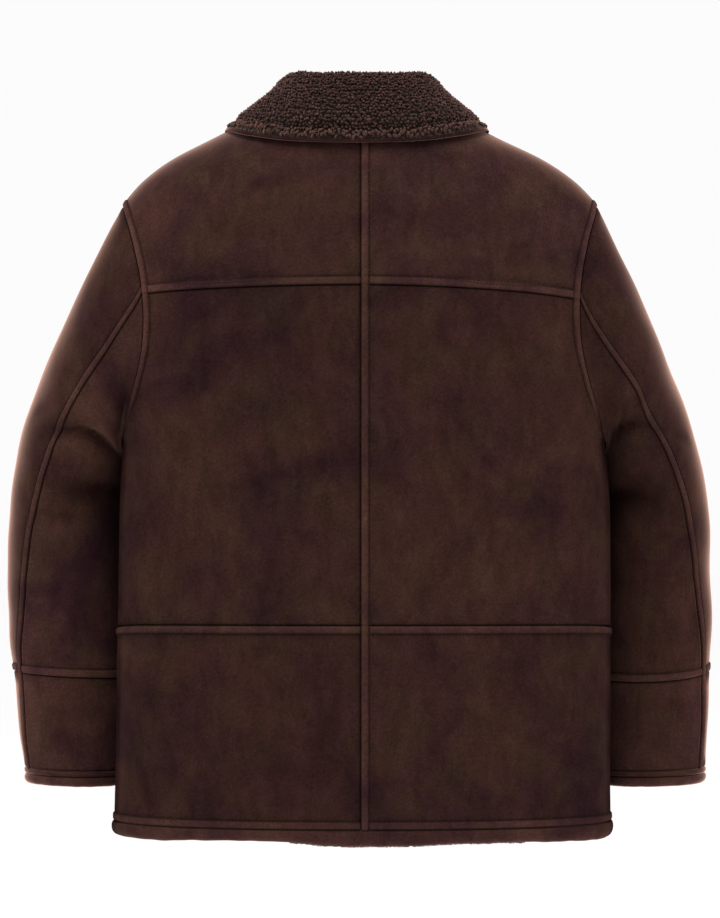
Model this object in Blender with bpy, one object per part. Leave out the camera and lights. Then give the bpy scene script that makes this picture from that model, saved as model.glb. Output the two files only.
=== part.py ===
"""Shearling coat, buttoned up and hollow as worn, built from the pieces a maker cuts.

All sizes are in millimetres until the meshes are made.  The wearer faces +Y, so the
back of the coat faces -Y, and +X is the wearer's right.  The origin is the centre
back of the neckline seam's height, in the middle of the neck.  Heights are given as
"drop", the distance below the origin.
"""

from collections import namedtuple
from math import acos, asin, atan2, cos, degrees, pi, radians, sin

import bmesh
import bpy
from mathutils import Vector

# ------------------------------------------------------------------ named sizes
MM = 0.001                   # metres in a millimetre
SKIN = 7.5                   # leather with its wool, one wall
SEAM_GAP = 0.3               # air between two sewn pieces
BAND_WIDTH = 8.0             # lapped strip beside a seam
BAND_HEIGHT = 1.1
EDGE_DIP = 0.7               # skin drawn down by the sewing at a seam
NECK_FULLNESS = 2.0          # superellipse exponent of the torso's rings at the neck
FULLNESS = 2.4               # and from the shoulders down
NECK_HALF_WIDTH = 80.0
NECK_SIDE_RISE = 10.0        # the neckline is higher at the side of the neck
NECK_FRONT_DROP = 75.0
SHOULDER_SEAM_SETBACK = 10.0
YOKE_DROP_CENTRE = 178.7
YOKE_DROP_LEFT = 186.5
YOKE_DROP_RIGHT = 192.5
WAIST_DROP_CENTRE = 523.5
WAIST_DROP_SIDE = 531.0
PANEL_HEM_DROP = 729.5       # where the hem roll begins
UNDERARM_DROP = 335.0
OVERLAP = 22.0               # each front passes the centre by this much
FRONT_UNDERLAY = 9.0         # the right front lies this far inside the left one
HEM_UNDERLAY = 13.4          # and its rolled hem this far, since the roll is thicker
STEP_START = 32.0            # it steps out again from here, this far from the centre
STEP_WIDTH = 30.0
COLLAR_SKIN = 9.0
COLLAR_FOLD_RADIUS = 6.2
BUTTON_RADIUS = 14.0
BUTTON_DROPS = (112.0, 225.0, 338.0, 451.0, 564.0)

# ------------------------------------------------------------------ tables
# Rings of the torso, measured over the outside
Ring = namedtuple("Ring", "drop half_width mid_x back_depth front_depth")
TORSO = [
    Ring(-14, 72.5, -3.0, 62.0, 60.0),
    Ring(-10, 80.0, -3.3, 65.0, 63.0),
    Ring(0, 103.0, -4.5, 70.0, 69.0),
    Ring(8, 121.0, -5.5, 75.0, 74.0),
    Ring(23, 150.0, -6.0, 83.0, 82.0),
    Ring(44, 192.0, -4.5, 92.0, 92.0),
    Ring(65, 222.0, -3.0, 99.0, 100.0),
    Ring(85, 241.5, -2.0, 103.5, 105.0),
    Ring(92, 246.0, -1.7, 105.0, 107.0),
    Ring(110, 255.0, -1.4, 107.0, 109.0),
    Ring(130, 260.0, -1.2, 108.5, 111.0),
    Ring(150, 262.0, -1.0, 110.0, 113.0),
    Ring(208, 262.0, 0.0, 111.0, 117.0),
    Ring(260, 260.0, 0.6, 110.0, 118.0),
    Ring(296, 256.0, 1.0, 109.0, 118.0),
    Ring(320, 252.5, 1.3, 108.0, 117.5),
    Ring(335, 250.5, 1.5, 107.0, 117.0),
    Ring(358, 253.0, 2.3, 106.0, 116.0),
    Ring(400, 255.0, 3.0, 105.0, 116.0),
    Ring(460, 255.5, 3.0, 105.0, 117.0),
    Ring(544, 256.5, 2.4, 108.0, 120.0),
    Ring(640, 257.5, 1.8, 111.0, 123.0),
    Ring(760, 258.5, 1.5, 114.0, 126.0),
]

# Armhole, by turn round it: 0 at the shoulder tip, 180 under the arm
Armhole = namedtuple("Armhole", "turn back_angle front_angle")
ARMHOLE = [
    Armhole(0, 90.0, 90.0),
    Armhole(15, 76.1, 75.1),
    Armhole(30, 66.1, 64.6),
    Armhole(45, 59.8, 57.5),
    Armhole(60, 56.1, 53.0),
    Armhole(75, 54.3, 50.7),
    Armhole(90, 53.9, 50.1),
    Armhole(105, 55.3, 51.7),
    Armhole(120, 59.1, 55.9),
    Armhole(135, 64.8, 62.2),
    Armhole(150, 71.7, 70.0),
    Armhole(165, 79.7, 78.6),
    Armhole(180, 90.0, 90.0),
]
ARMHOLE_MID_DROP = 213.5
ARMHOLE_HALF_HEIGHT = 121.5

# Rings of a sleeve: its outer edge, its inner edge, its middle and half depth fore and aft,
# and how far its inner edge leans forward past the side of the body
Sleeve = namedtuple(
    "Sleeve",
    "at outer_left outer_right outer_drop inner_left inner_right inner_drop mid_y half_depth lean",
)
SLEEVE = [
    Sleeve(0, 247.5, 244.5, 92.0, 250.5, 250.5, 335.0, 5.0, 74.5, 0.0),
    Sleeve(1, 269.5, 265.0, 131.0, 254.0, 256.8, 344.0, 10.0, 77.5, 8.0),
    Sleeve(2, 291.5, 286.0, 174.0, 255.5, 259.0, 354.0, 15.5, 79.5, 18.0),
    Sleeve(3, 312.5, 305.5, 216.0, 254.0, 258.0, 366.0, 22.5, 80.5, 26.0),
    Sleeve(4, 331.0, 322.5, 257.0, 252.0, 256.5, 380.0, 31.0, 80.0, 28.0),
    Sleeve(5, 348.0, 339.5, 298.0, 250.5, 255.0, 395.0, 41.0, 78.0, 26.0),
    Sleeve(6, 361.5, 354.0, 340.0, 248.5, 252.0, 412.0, 52.0, 75.0, 22.0),
    Sleeve(7, 369.5, 364.5, 381.0, 246.5, 249.0, 434.0, 62.0, 72.5, 16.0),
    Sleeve(8, 374.5, 369.5, 423.0, 244.5, 246.5, 461.0, 71.0, 70.0, 10.0),
    Sleeve(9, 376.5, 371.5, 465.0, 243.0, 245.0, 492.0, 78.0, 67.5, 5.0),
    Sleeve(10, 377.0, 373.0, 507.0, 242.0, 244.0, 525.0, 83.0, 65.0, 0.0),
    Sleeve(11, 375.0, 373.5, 550.0, 241.5, 243.5, 560.0, 87.0, 62.5, 0.0),
    Sleeve(12, 369.5, 371.5, 592.0, 241.5, 243.5, 597.0, 89.0, 60.0, 0.0),
    Sleeve(13, 366.0, 370.0, 635.0, 242.0, 244.0, 638.0, 91.0, 57.5, 0.0),
    Sleeve(14, 360.5, 367.5, 678.0, 243.0, 245.0, 680.0, 92.0, 55.5, 0.0),
    Sleeve(15, 356.0, 364.5, 721.0, 244.0, 246.0, 722.0, 92.0, 54.0, 0.0),
]
CAP_BLEND = 3.2              # the armhole's own shape fades into the rings by here

# Where the two long seams of a sleeve run, as turn round the sleeve
SleeveSeam = namedtuple("SleeveSeam", "at back_left back_right front_turn")
SLEEVE_SEAMS = [
    SleeveSeam(0, 77.2, 80.0, -104.0),
    SleeveSeam(1, 79.5, 85.5, -106.0),
    SleeveSeam(2, 83.5, 88.0, -108.0),
    SleeveSeam(3, 82.5, 87.0, -110.0),
    SleeveSeam(4, 77.0, 83.0, -112.0),
    SleeveSeam(5, 72.0, 75.5, -114.0),
    SleeveSeam(6, 68.0, 68.5, -116.0),
    SleeveSeam(8, 56.5, 56.0, -118.0),
    SleeveSeam(10, 47.0, 46.0, -118.0),
    SleeveSeam(12, 34.0, 34.5, -118.0),
    SleeveSeam(15, 30.0, 33.0, -118.0),
]
CROSS_AT_LEFT = 11.72        # lower cross seam of a sleeve
CROSS_AT_RIGHT = 11.70
CROSS_DIP_LEFT = 0.02
CROSS_DIP_RIGHT = 0.17
CUFF_AT = 14.12              # where the cuff's rolled edge begins
CUFF_END_AT = 14.52

# Folds of a sleeve: middle, half length round, half width along, depth, slant
Fold = namedtuple("Fold", "side turn at half_turn half_at depth slant")
FOLDS = [
    Fold(-1, 108.0, 3.68, 60.0, 0.26, 6.5, -0.033),
    Fold(-1, 112.0, 2.72, 46.0, 0.45, -4.4, -0.026),
    Fold(-1, 118.0, 5.75, 62.0, 0.48, 5.0, -0.028),
    Fold(-1, 85.0, 12.80, 36.0, 0.20, 2.0, 0.004),
    Fold(-1, -84.0, 4.90, 62.0, 0.34, 5.0, 0.014),
    Fold(-1, -100.0, 6.60, 45.0, 0.45, 3.0, 0.010),
    Fold(1, 112.0, 3.10, 52.0, 0.30, 4.8, -0.040),
    Fold(1, 110.0, 2.20, 42.0, 0.42, -2.6, -0.036),
    Fold(1, 112.0, 6.20, 60.0, 0.45, 4.4, -0.030),
    Fold(1, 80.0, 12.60, 34.0, 0.20, 1.8, -0.003),
    Fold(1, -86.0, 4.80, 60.0, 0.34, 5.0, 0.014),
    Fold(1, -98.0, 6.80, 45.0, 0.45, 3.0, 0.010),
]

# Collar, by turn round the neck: 0 at the centre back, 180 at the front
Collar = namedtuple("Collar", "turn fold_height edge_angle edge_drop bulge")
COLLAR = [
    Collar(0, 39.5, 0.0, 36.0, 5.0),
    Collar(30, 40.0, 21.9, 34.0, 5.0),
    Collar(55, 42.0, 42.0, 26.5, 3.0),
    Collar(75, 34.0, 64.0, 16.5, -1.0),
    Collar(90, 29.0, 87.0, 11.5, -0.5),
    Collar(105, 20.0, 111.0, 17.0, 1.0),
    Collar(120, 8.0, 132.0, 35.0, 3.0),
    Collar(150, -32.0, 153.9, 82.0, 6.0),
    Collar(174, -48.0, 166.8, 138.0, 5.0),
]
COLLAR_END_TURN = 174.0

# Hem roll and cuff roll: distance down from the panel, and how far it stands out
Roll = namedtuple("Roll", "down lift")
HEM_ROLL = [
    Roll(0.0, -0.6),
    Roll(1.8, 1.4),
    Roll(6.0, 2.6),
    Roll(11.0, 1.8),
    Roll(14.4, -0.6),
    Roll(15.5, -3.6),
]
CUFF_ROLL = [
    Roll(0.0, -0.5),
    Roll(1.5, 1.1),
    Roll(5.0, 1.1),
    Roll(6.6, -0.4),
    Roll(9.0, 1.9),
    Roll(13.5, 1.6),
    Roll(16.3, -0.8),
    Roll(17.2, -3.4),
]

Look = namedtuple("Look", "colour roughness")
SUEDE = Look((0.050, 0.024, 0.018), 0.95)
FLEECE = Look((0.072, 0.042, 0.034), 1.0)
HORN = Look((0.020, 0.012, 0.009), 0.35)


# ------------------------------------------------------------------ small helpers
def read_table(rows, column, at):
    """Smooth curve through one column of a table, against its first column."""
    keys = [row[0] for row in rows]
    values = [getattr(row, column) for row in rows]
    if at <= keys[0]:
        return values[0] + (at - keys[0]) * (values[1] - values[0]) / (keys[1] - keys[0])
    if at >= keys[-1]:
        return values[-1] + (at - keys[-1]) * (values[-1] - values[-2]) / (keys[-1] - keys[-2])
    i = max(k for k in range(len(keys) - 1) if keys[k] <= at)

    def slope(k):
        low = max(k - 1, 0)
        high = min(k + 1, len(keys) - 1)
        return (values[high] - values[low]) / (keys[high] - keys[low])

    span = keys[i + 1] - keys[i]
    t = (at - keys[i]) / span
    rise = values[i + 1] - values[i]
    start = slope(i) * span
    end = slope(i + 1) * span
    return values[i] + t * start + t * t * (3 * rise - 2 * start - end) \
        + t * t * t * (start + end - 2 * rise)


def ease(t):
    """Smooth step from 0 to 1."""
    t = min(max(t, 0.0), 1.0)
    return t * t * (3 - 2 * t)


def side_name(side):
    return "right" if side > 0 else "left"


# ------------------------------------------------------------------ the torso's surface
def fullness(drop):
    """The rings are oval at the neck and squarer from the shoulders down."""
    return NECK_FULLNESS + (FULLNESS - NECK_FULLNESS) * ease((drop + 10) / 75)


def torso_point(angle, drop):
    """Point on the outside of the torso: angle 0 is the centre back, 90 the right side."""
    across = sin(radians(angle))
    back = cos(radians(angle))
    power = fullness(drop)
    reach = (abs(across) ** power + abs(back) ** power) ** (-1 / power)
    depth = "back_depth" if back >= 0 else "front_depth"
    x = read_table(TORSO, "half_width", drop) * reach * across
    y = -read_table(TORSO, depth, drop) * reach * back
    return Vector((read_table(TORSO, "mid_x", drop) + x, y, -drop))


def torso_normal(angle, drop):
    round_it = torso_point(angle + 0.7, drop) - torso_point(angle - 0.7, drop)
    upward = torso_point(angle, drop - 1.5) - torso_point(angle, drop + 1.5)
    return round_it.cross(upward).normalized()


def torso(angle, drop):
    return torso_point(angle, drop), torso_normal(angle, drop)


def angle_for_x(x, drop):
    """Angle at which the back of a ring lies x from the ring's middle."""
    share = min(abs(x) / read_table(TORSO, "half_width", drop), 1.0)
    power = fullness(drop)
    return degrees(atan2(share, (1 - share ** power) ** (1 / power))) * (1 if x >= 0 else -1)


def centre_back(drop):
    """The centre back seam hangs straight, a little beside the rings' middles."""
    return angle_for_x(1.5 - read_table(TORSO, "mid_x", drop), drop)


def neckline(side, turn):
    """Angle and drop of the neckline: turn 0 at the centre back, 180 at the front."""
    back = cos(radians(turn)) >= 0
    across = NECK_HALF_WIDTH * sin(radians(turn))
    if back:
        drop = -NECK_SIDE_RISE * sin(radians(turn)) ** 2
    else:
        reach = abs(cos(radians(turn))) ** 1.6
        drop = -NECK_SIDE_RISE + (NECK_SIDE_RISE + NECK_FRONT_DROP) * reach
    angle = angle_for_x(across, drop)
    if not back:
        angle = 180 - angle
    start = centre_back(0.0) * max(0.0, cos(radians(turn)))
    return side * angle + start, drop


def shoulder_angle(drop):
    """The shoulder seam lies a little behind the ridge of the shoulder."""
    share = SHOULDER_SEAM_SETBACK / read_table(TORSO, "back_depth", drop)
    power = fullness(drop)
    return degrees(atan2((1 - share ** power) ** (1 / power), share))


def armhole(side, turn):
    """Angle and drop of the armhole: turn 0 to 180 down the back, -180 to 0 up the front."""
    drop = ARMHOLE_MID_DROP - ARMHOLE_HALF_HEIGHT * cos(radians(turn))
    if turn >= 0:
        angle = read_table(ARMHOLE, "back_angle", turn)
    else:
        angle = 180 - read_table(ARMHOLE, "front_angle", -turn)
    return side * angle, drop


def armhole_turn_at(drop):
    return degrees(acos((ARMHOLE_MID_DROP - drop) / ARMHOLE_HALF_HEIGHT))


def shoulder_tip_turn():
    """Turn at which the armhole meets the shoulder seam."""
    low, high = 0.0, 30.0
    for _ in range(40):
        turn = (low + high) / 2
        angle, drop = armhole(1, turn)
        if angle > shoulder_angle(drop):
            low = turn
        else:
            high = turn
    return low


def neck_side_turn():
    """Turn at which the neckline meets the shoulder seam."""
    low, high = 45.0, 90.0
    for _ in range(40):
        turn = (low + high) / 2
        angle, drop = neckline(1, turn)
        if angle < shoulder_angle(drop):
            low = turn
        else:
            high = turn
    return low


TIP_TURN = shoulder_tip_turn()
NECK_TURN = neck_side_turn()


def shoulder_seam(side, share):
    """Angle and drop along the shoulder seam, from the neck to the tip."""
    neck_angle, neck_drop = neckline(side, NECK_TURN)
    tip_angle, tip_drop = armhole(side, TIP_TURN)
    drop = neck_drop + (tip_drop - neck_drop) * (share ** 1.25)
    blend = ease(share * 8) * ease((1 - share) * 8)
    straight = neck_angle + (tip_angle - neck_angle) * share
    return straight + (side * shoulder_angle(drop) - straight) * blend, drop


def yoke_seam(side, share):
    """Angle and drop along the yoke seam, from the centre back to the armhole."""
    side_drop = YOKE_DROP_RIGHT if side > 0 else YOKE_DROP_LEFT
    end_angle, _ = armhole(side, armhole_turn_at(side_drop))
    drop = YOKE_DROP_CENTRE + (side_drop - YOKE_DROP_CENTRE) * share ** 1.8
    start = centre_back(YOKE_DROP_CENTRE)
    return start + (end_angle - start) * share, drop


def waist_seam(side, share):
    drop = WAIST_DROP_CENTRE + (WAIST_DROP_SIDE - WAIST_DROP_CENTRE) * share ** 3
    start = centre_back(WAIST_DROP_CENTRE)
    return start + (side * 90 - start) * share, drop


# ------------------------------------------------------------------ a sleeve's surface
def sleeve_ring(side, at, turn):
    outer = read_table(SLEEVE, "outer_" + side_name(side), at)
    inner = read_table(SLEEVE, "inner_" + side_name(side), at)
    outer_drop = read_table(SLEEVE, "outer_drop", at)
    inner_drop = read_table(SLEEVE, "inner_drop", at)
    mid_y = read_table(SLEEVE, "mid_y", at)
    half_depth = read_table(SLEEVE, "half_depth", at)
    reach = cos(radians(turn))
    x = (outer + inner) / 2 + reach * (outer - inner) / 2
    drop = (outer_drop + inner_drop) / 2 + reach * (outer_drop - inner_drop) / 2
    lean = read_table(SLEEVE, "lean", at) * (1 - reach) / 2
    y = mid_y + lean - half_depth * sin(radians(turn))
    return Vector((side * x, y, -drop))


def wrapped(turn):
    """Turn brought between -180 and 180."""
    return (turn + 180) % 360 - 180


def sleeve_point(side, turn, at):
    point = sleeve_ring(side, at, turn)
    if at < CAP_BLEND:
        fade = 1 - ease(at / CAP_BLEND)
        own = torso_point(*armhole(side, wrapped(turn)))
        point = point + (own - sleeve_ring(side, 0, turn)) * fade
    return point


def sleeve_normal(side, turn, at):
    round_it = sleeve_point(side, turn + 1.5, at) - sleeve_point(side, turn - 1.5, at)
    first = max(at - 0.04, 0.0)
    along = sleeve_point(side, turn, first + 0.08) - sleeve_point(side, turn, first)
    return (round_it.cross(along) * side).normalized()


def fold_depth(side, turn, at):
    """How far the folds press a sleeve in at one place."""
    total = 0.0
    for fold in FOLDS:
        if fold.side != side:
            continue
        across = wrapped(turn - fold.turn)
        down = at - fold.at - fold.slant * across
        reach = (across / fold.half_turn) ** 2
        if reach < 1:
            total += fold.depth * (1 - reach) ** 1.5 * 2.718 ** (-(down / fold.half_at) ** 2)
    return total


def sleeve(side):
    def surface(turn, at):
        normal = sleeve_normal(side, turn, at)
        return sleeve_point(side, turn, at) - normal * fold_depth(side, turn, at), normal
    return surface


def cross_seam(side, turn):
    """How far down a sleeve its lower cross seam lies."""
    if side > 0:
        return CROSS_AT_RIGHT + CROSS_DIP_RIGHT * max(0.0, sin(radians(turn)))
    return CROSS_AT_LEFT + CROSS_DIP_LEFT * max(0.0, sin(radians(turn)))


def shared_edge(first_normal, second_normal, thickness):
    """Direction through the skin where two pieces meet at an angle."""
    middle = (first_normal + second_normal).normalized()
    share = max(middle.dot(first_normal), 0.75)
    return middle * (-thickness / share)


# ------------------------------------------------------------------ the armhole's rim
# Both sides of the armhole seam run along the same straight steps, so they stay apart
def even_stops(first, last, steps):
    return [first + (last - first) * k / steps for k in range(steps + 1)]


def yoke_turn(side):
    return armhole_turn_at(YOKE_DROP_RIGHT if side > 0 else YOKE_DROP_LEFT)


def yoke_stops(side):
    return even_stops(TIP_TURN, yoke_turn(side), 4)


def back_stops(side):
    return even_stops(yoke_turn(side), 180.0, 7)


def front_stops(side):
    first = SLEEVE_SEAMS[0].front_turn
    return even_stops(TIP_TURN, first, 8) + even_stops(first, -180.0, 5)[1:]


def stop_turn(stops, share):
    """Turn at a share of a list of stops."""
    place = min(max(share, 0.0), 1.0) * (len(stops) - 1)
    k = min(int(place), len(stops) - 2)
    return stops[k] + (stops[k + 1] - stops[k]) * (place - k)


def rim_corner(side, turn):
    """Outside point, direction through the skin, and direction towards the sleeve."""
    here = wrapped(turn)
    point = torso_point(*armhole(side, here))
    first = torso_normal(*armhole(side, here))
    through = shared_edge(first, sleeve_normal(side, here, 0.0), SKIN)
    ahead = sleeve_ring_start(side, turn + 1.0) - sleeve_ring_start(side, turn - 1.0)
    towards = through.cross(ahead).normalized()
    if towards.dot(sleeve_point(side, here, 0.4) - point) < 0:
        towards = -towards
    return point, through, towards


def sleeve_ring_start(side, turn):
    return torso_point(*armhole(side, wrapped(turn)))


RIMS = {}
for rim_side in (-1, 1):
    rim_turns = yoke_stops(rim_side) + back_stops(rim_side)[1:] + front_stops(rim_side)[1:]
    rim_turns = sorted({round(wrapped(t) if t > -180 else 180.0, 6) for t in rim_turns})
    rim_turns = [t for t in rim_turns if t > -179.99]
    rim_turns = [rim_turns[-1] - 360.0] + rim_turns
    RIMS[rim_side] = [(turn, rim_corner(rim_side, turn)) for turn in rim_turns]


def armhole_rim(side, turn, sign):
    """Outer and inner point of the rim: sign is -1 on the torso, 1 on the sleeve."""
    turn = wrapped(turn)
    corners = RIMS[side]
    k = 0
    while k < len(corners) - 2 and corners[k + 1][0] <= turn + 1e-9:
        k += 1
    start, end = corners[k], corners[k + 1]
    share = (turn - start[0]) / (end[0] - start[0])
    point, through, towards = [a.lerp(b, share) for a, b in zip(start[1], end[1])]
    shift = towards * (sign * SEAM_GAP / 2)
    return point + through.normalized() * EDGE_DIP + shift, point + through + shift


# ------------------------------------------------------------------ panels
# The styles of an edge: a band is lapped and stitched, all others are only drawn down
EDGES = ("left", "right", "top", "bottom")


def coons(left, right, top, bottom):
    """Place inside four edge curves, each a function of a share from 0 to 1."""
    corners = [top(0.0), top(1.0), bottom(0.0), bottom(1.0)]

    def place(u, v):
        sides = (left(v), right(v), top(u), bottom(u))
        result = []
        for k in (0, 1):
            across = (1 - u) * sides[0][k] + u * sides[1][k]
            down = (1 - v) * sides[2][k] + v * sides[3][k]
            flat = (1 - v) * ((1 - u) * corners[0][k] + u * corners[1][k])
            flat += v * ((1 - u) * corners[2][k] + u * corners[3][k])
            result.append(across + down - flat)
        return tuple(result)
    return place


def walk_along(points):
    """Distance walked at each of a line's points."""
    walk = [0.0]
    for first, second in zip(points, points[1:]):
        walk.append(walk[-1] + (second - first).length)
    return walk


def share_at(walk, distance):
    """Share of an evenly sampled line at which a distance has been walked."""
    k = 0
    while k < len(walk) - 2 and walk[k + 1] < distance:
        k += 1
    part = (distance - walk[k]) / max(walk[k + 1] - walk[k], 1e-6)
    return (k + part) / (len(walk) - 1)


def distance_at(walk, share):
    place = min(max(share, 0.0), 1.0) * (len(walk) - 1)
    k = min(int(place), len(walk) - 2)
    return walk[k] + (walk[k + 1] - walk[k]) * (place - k)


def blend_walks(walks, share):
    """The walk between two of an evenly spaced list."""
    place = min(max(share, 0.0), 1.0) * (len(walks) - 1)
    k = min(int(place), len(walks) - 2)
    return [a + (b - a) * (place - k) for a, b in zip(walks[k], walks[k + 1])]


def positions(walk, start, middle, end, between=0):
    """Shares of a line: distances from its start, shares, distances from its end."""
    shares = [share_at(walk, d) for d in start]
    shares += even_stops(shares[-1], middle[0], between + 1)[1:-1] + list(middle)
    return shares + [share_at(walk, walk[-1] - d) for d in reversed(end)]


def band_lift(distance):
    return BAND_HEIGHT * (1 - ease((distance - BAND_WIDTH) / 2.0))


def edge_dip(distance):
    return EDGE_DIP * max(0.0, 1 - distance / 2.2) ** 2


class Panel:
    """A piece of skin: a place inside four curves on a surface, with its edges' styles."""

    def __init__(self, surface, place, bands=(), strength=None, rims=None, lift=None):
        self.surface = surface
        self.place = place
        self.bands = bands
        self.strength = strength or (lambda edge, share: 1.0)
        self.rims = rims or {}
        self.lift = lift or (lambda a, b: 0.0)

    def point(self, u, v):
        return self.surface(*self.place(u, v))[0]

    def walks_across(self):
        return [walk_along([self.point(k / 16, j / 6) for k in range(17)]) for j in range(7)]

    def walks_down(self):
        return [walk_along([self.point(j / 6, k / 16) for k in range(17)]) for j in range(7)]

    def relief(self, u, v, across, down):
        """How far the outside stands off the plain surface near the panel's edges."""
        from_left = distance_at(across, u)
        from_top = distance_at(down, v)
        distances = {
            "left": from_left,
            "right": across[-1] - from_left,
            "top": from_top,
            "bottom": down[-1] - from_top,
        }
        lift = 0.0
        dip = 0.0
        for edge in EDGES:
            share = v if edge in ("left", "right") else u
            if edge in self.bands:
                lift = max(lift, band_lift(distances[edge]) * self.strength(edge, share))
            dip = max(dip, edge_dip(distances[edge]))
        return lift - dip

    def rim(self, edge, u, v):
        """Outer and inner point on an edge that meets another surface, or None."""
        return self.rims[edge](u, v) if edge in self.rims else None

    def grid(self, columns, rows):
        """Outer and inner points of the wall, column by column."""
        across = self.walks_across()
        down = self.walks_down()
        us = positions(blend_walks(across, 0.5), *columns)
        vs = positions(blend_walks(down, 0.5), *rows)
        outer = []
        inner = []
        for i, near_u in enumerate(us):
            outer_line = []
            inner_line = []
            for j, near_v in enumerate(vs):
                width = blend_walks(across, near_v)
                height = blend_walks(down, near_u)
                u = positions(width, *columns)[i]
                v = positions(height, *rows)[j]
                ends = None
                if i == len(us) - 1:
                    ends = self.rim("right", u, v)
                if i == 0:
                    ends = self.rim("left", u, v)
                if j == 0:
                    ends = self.rim("top", u, v) or ends
                if ends is None:
                    a, b = self.place(u, v)
                    point, normal = self.surface(a, b)
                    base = point + normal * self.lift(a, b)
                    ends = base + normal * self.relief(u, v, width, height), base - normal * SKIN
                outer_line.append(ends[0])
                inner_line.append(ends[1])
            outer.append(outer_line)
            inner.append(inner_line)
        return outer, inner


# ------------------------------------------------------------------ meshes
def material(name, look):
    made = bpy.data.materials.new(name)
    made.use_nodes = True
    shader = made.node_tree.nodes["Principled BSDF"]
    shader.inputs["Base Color"].default_value = (*look.colour, 1.0)
    shader.inputs["Roughness"].default_value = look.roughness
    shader.inputs["Metallic"].default_value = 0.0
    return made


def finish_object(name, vertices, faces, look):
    mesh = bpy.data.meshes.new(name)
    mesh.from_pydata([tuple(v * MM) for v in vertices], [], faces)
    shaper = bmesh.new()
    shaper.from_mesh(mesh)
    bmesh.ops.recalc_face_normals(shaper, faces=shaper.faces)
    for face in shaper.faces:
        face.smooth = True
    shaper.to_mesh(mesh)
    shaper.free()
    made = bpy.data.objects.new(name, mesh)
    bpy.context.scene.collection.objects.link(made)
    mesh.materials.append(material("mat_" + name, look))
    return made


def wall_object(name, grids, look):
    """A closed wall between two equal grids of points.

    The faces round its rim are split so that they fall away from the neighbour.
    """
    outer, inner = grids
    columns = len(outer)
    rows = len(outer[0])
    vertices = [p for line in outer for p in line] + [p for line in inner for p in line]
    back = columns * rows

    def number(i, j):
        return i * rows + j

    faces = []
    for i in range(columns - 1):
        for j in range(rows - 1):
            square = (number(i, j), number(i + 1, j), number(i + 1, j + 1), number(i, j + 1))
            faces.append(square)
            faces.append(tuple(back + k for k in reversed(square)))
    rim = [(number(i, 0), number(i, 1)) for i in range(columns)]
    rim += [(number(columns - 1, j), number(columns - 2, j)) for j in range(1, rows)]
    rim += [(number(i, rows - 1), number(i, rows - 2)) for i in range(columns - 2, -1, -1)]
    rim += [(number(0, j), number(1, j)) for j in range(rows - 2, 0, -1)]
    for k, (first, inside) in enumerate(rim):
        second = rim[(k + 1) % len(rim)][0]
        out = (vertices[second] - vertices[first]).cross(vertices[back + first] - vertices[first])
        away = vertices[first] + vertices[back + first] - vertices[inside] - vertices[back + inside]
        if out.dot(away) < 0:
            out = -out
        one = vertices[first] + vertices[back + second]
        other = vertices[second] + vertices[back + first]
        if one.dot(out) < other.dot(out):
            faces.append((second, first, back + second))
            faces.append((first, back + first, back + second))
        else:
            faces.append((second, first, back + first))
            faces.append((second, back + first, back + second))
    return finish_object(name, vertices, faces, look)


def swept_object(name, stations, look, closed):
    """A strip swept through equal outlines, closed round or capped at both ends."""
    size = len(stations[0])
    vertices = [p for outline in stations for p in outline]
    faces = []
    count = len(stations)
    for i in range(count if closed else count - 1):
        k = (i + 1) % count
        for j in range(size):
            m = (j + 1) % size
            faces.append((i * size + j, k * size + j, k * size + m, i * size + m))
    if not closed:
        faces.append(tuple(range(size)))
        faces.append(tuple((count - 1) * size + j for j in reversed(range(size))))
    return finish_object(name, vertices, faces, look)


# ------------------------------------------------------------------ body panels
HALF_GAP = SEAM_GAP / 2
BANDED = (HALF_GAP, BAND_WIDTH, BAND_WIDTH + 2.0)
PLAIN = (HALF_GAP, 2.4)
NECK_SHARE = 0.30            # part of a back panel's top edge that is neckline
SEAM_STEPS = (0.15, 0.32, 0.50, 0.67, 0.84)     # places along the shoulder seam
BACK_COLUMNS = (0.11, 0.20, NECK_SHARE, *(NECK_SHARE + (1 - NECK_SHARE) * s for s in SEAM_STEPS))


def centre_start(side):
    """The band of the centre back seam lies on the right panels."""
    return BANDED if side > 0 else PLAIN


def centre_bands(side):
    return ("left",) if side > 0 else ()


def neck_through(side, turn):
    """Direction through the skin along the neckline."""
    normal = torso_normal(*neckline(side, turn))
    level = Vector((normal.x, normal.y, 0.0)).normalized()
    return shared_edge(normal, level, SKIN)


def neck_rim(side, turn, step_in=0.0):
    point, normal = torso(*neckline(side, turn))
    through = neck_through(side, turn)
    upward = Vector((0.0, 0.0, 1.0))
    along = through.normalized()
    down = -(upward - along * upward.dot(along)).normalized()
    start = point + down * HALF_GAP - normal * step_in
    return start + along * EDGE_DIP, start + through


def centre_line(top_drop, bottom_drop):
    def line(share):
        drop = top_drop + (bottom_drop - top_drop) * share
        return centre_back(drop), drop
    return line


def make_yoke(side):
    def top(share):
        if share <= NECK_SHARE:
            return neckline(side, NECK_TURN * share / NECK_SHARE)
        return shoulder_seam(side, (share - NECK_SHARE) / (1 - NECK_SHARE))

    def right(share):
        return armhole(side, stop_turn(yoke_stops(side), share))

    def top_rim(u, v):
        if u > NECK_SHARE + 1e-6:
            return None
        return neck_rim(side, NECK_TURN * u / NECK_SHARE)

    def right_rim(u, v):
        return armhole_rim(side, stop_turn(yoke_stops(side), v), -1)

    centre = centre_line(0.0, YOKE_DROP_CENTRE)
    place = coons(centre, right, top, lambda share: yoke_seam(side, share))
    panel = Panel(
        torso, place, ("right", "bottom") + centre_bands(side),
        rims={"top": top_rim, "right": right_rim},
    )
    rows = (PLAIN, (0.09, 0.25, 0.50, 0.75), BANDED)
    grids = panel.grid((centre_start(side), BACK_COLUMNS, BANDED), rows)
    return wall_object("yoke_" + side_name(side), grids, SUEDE)


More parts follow.
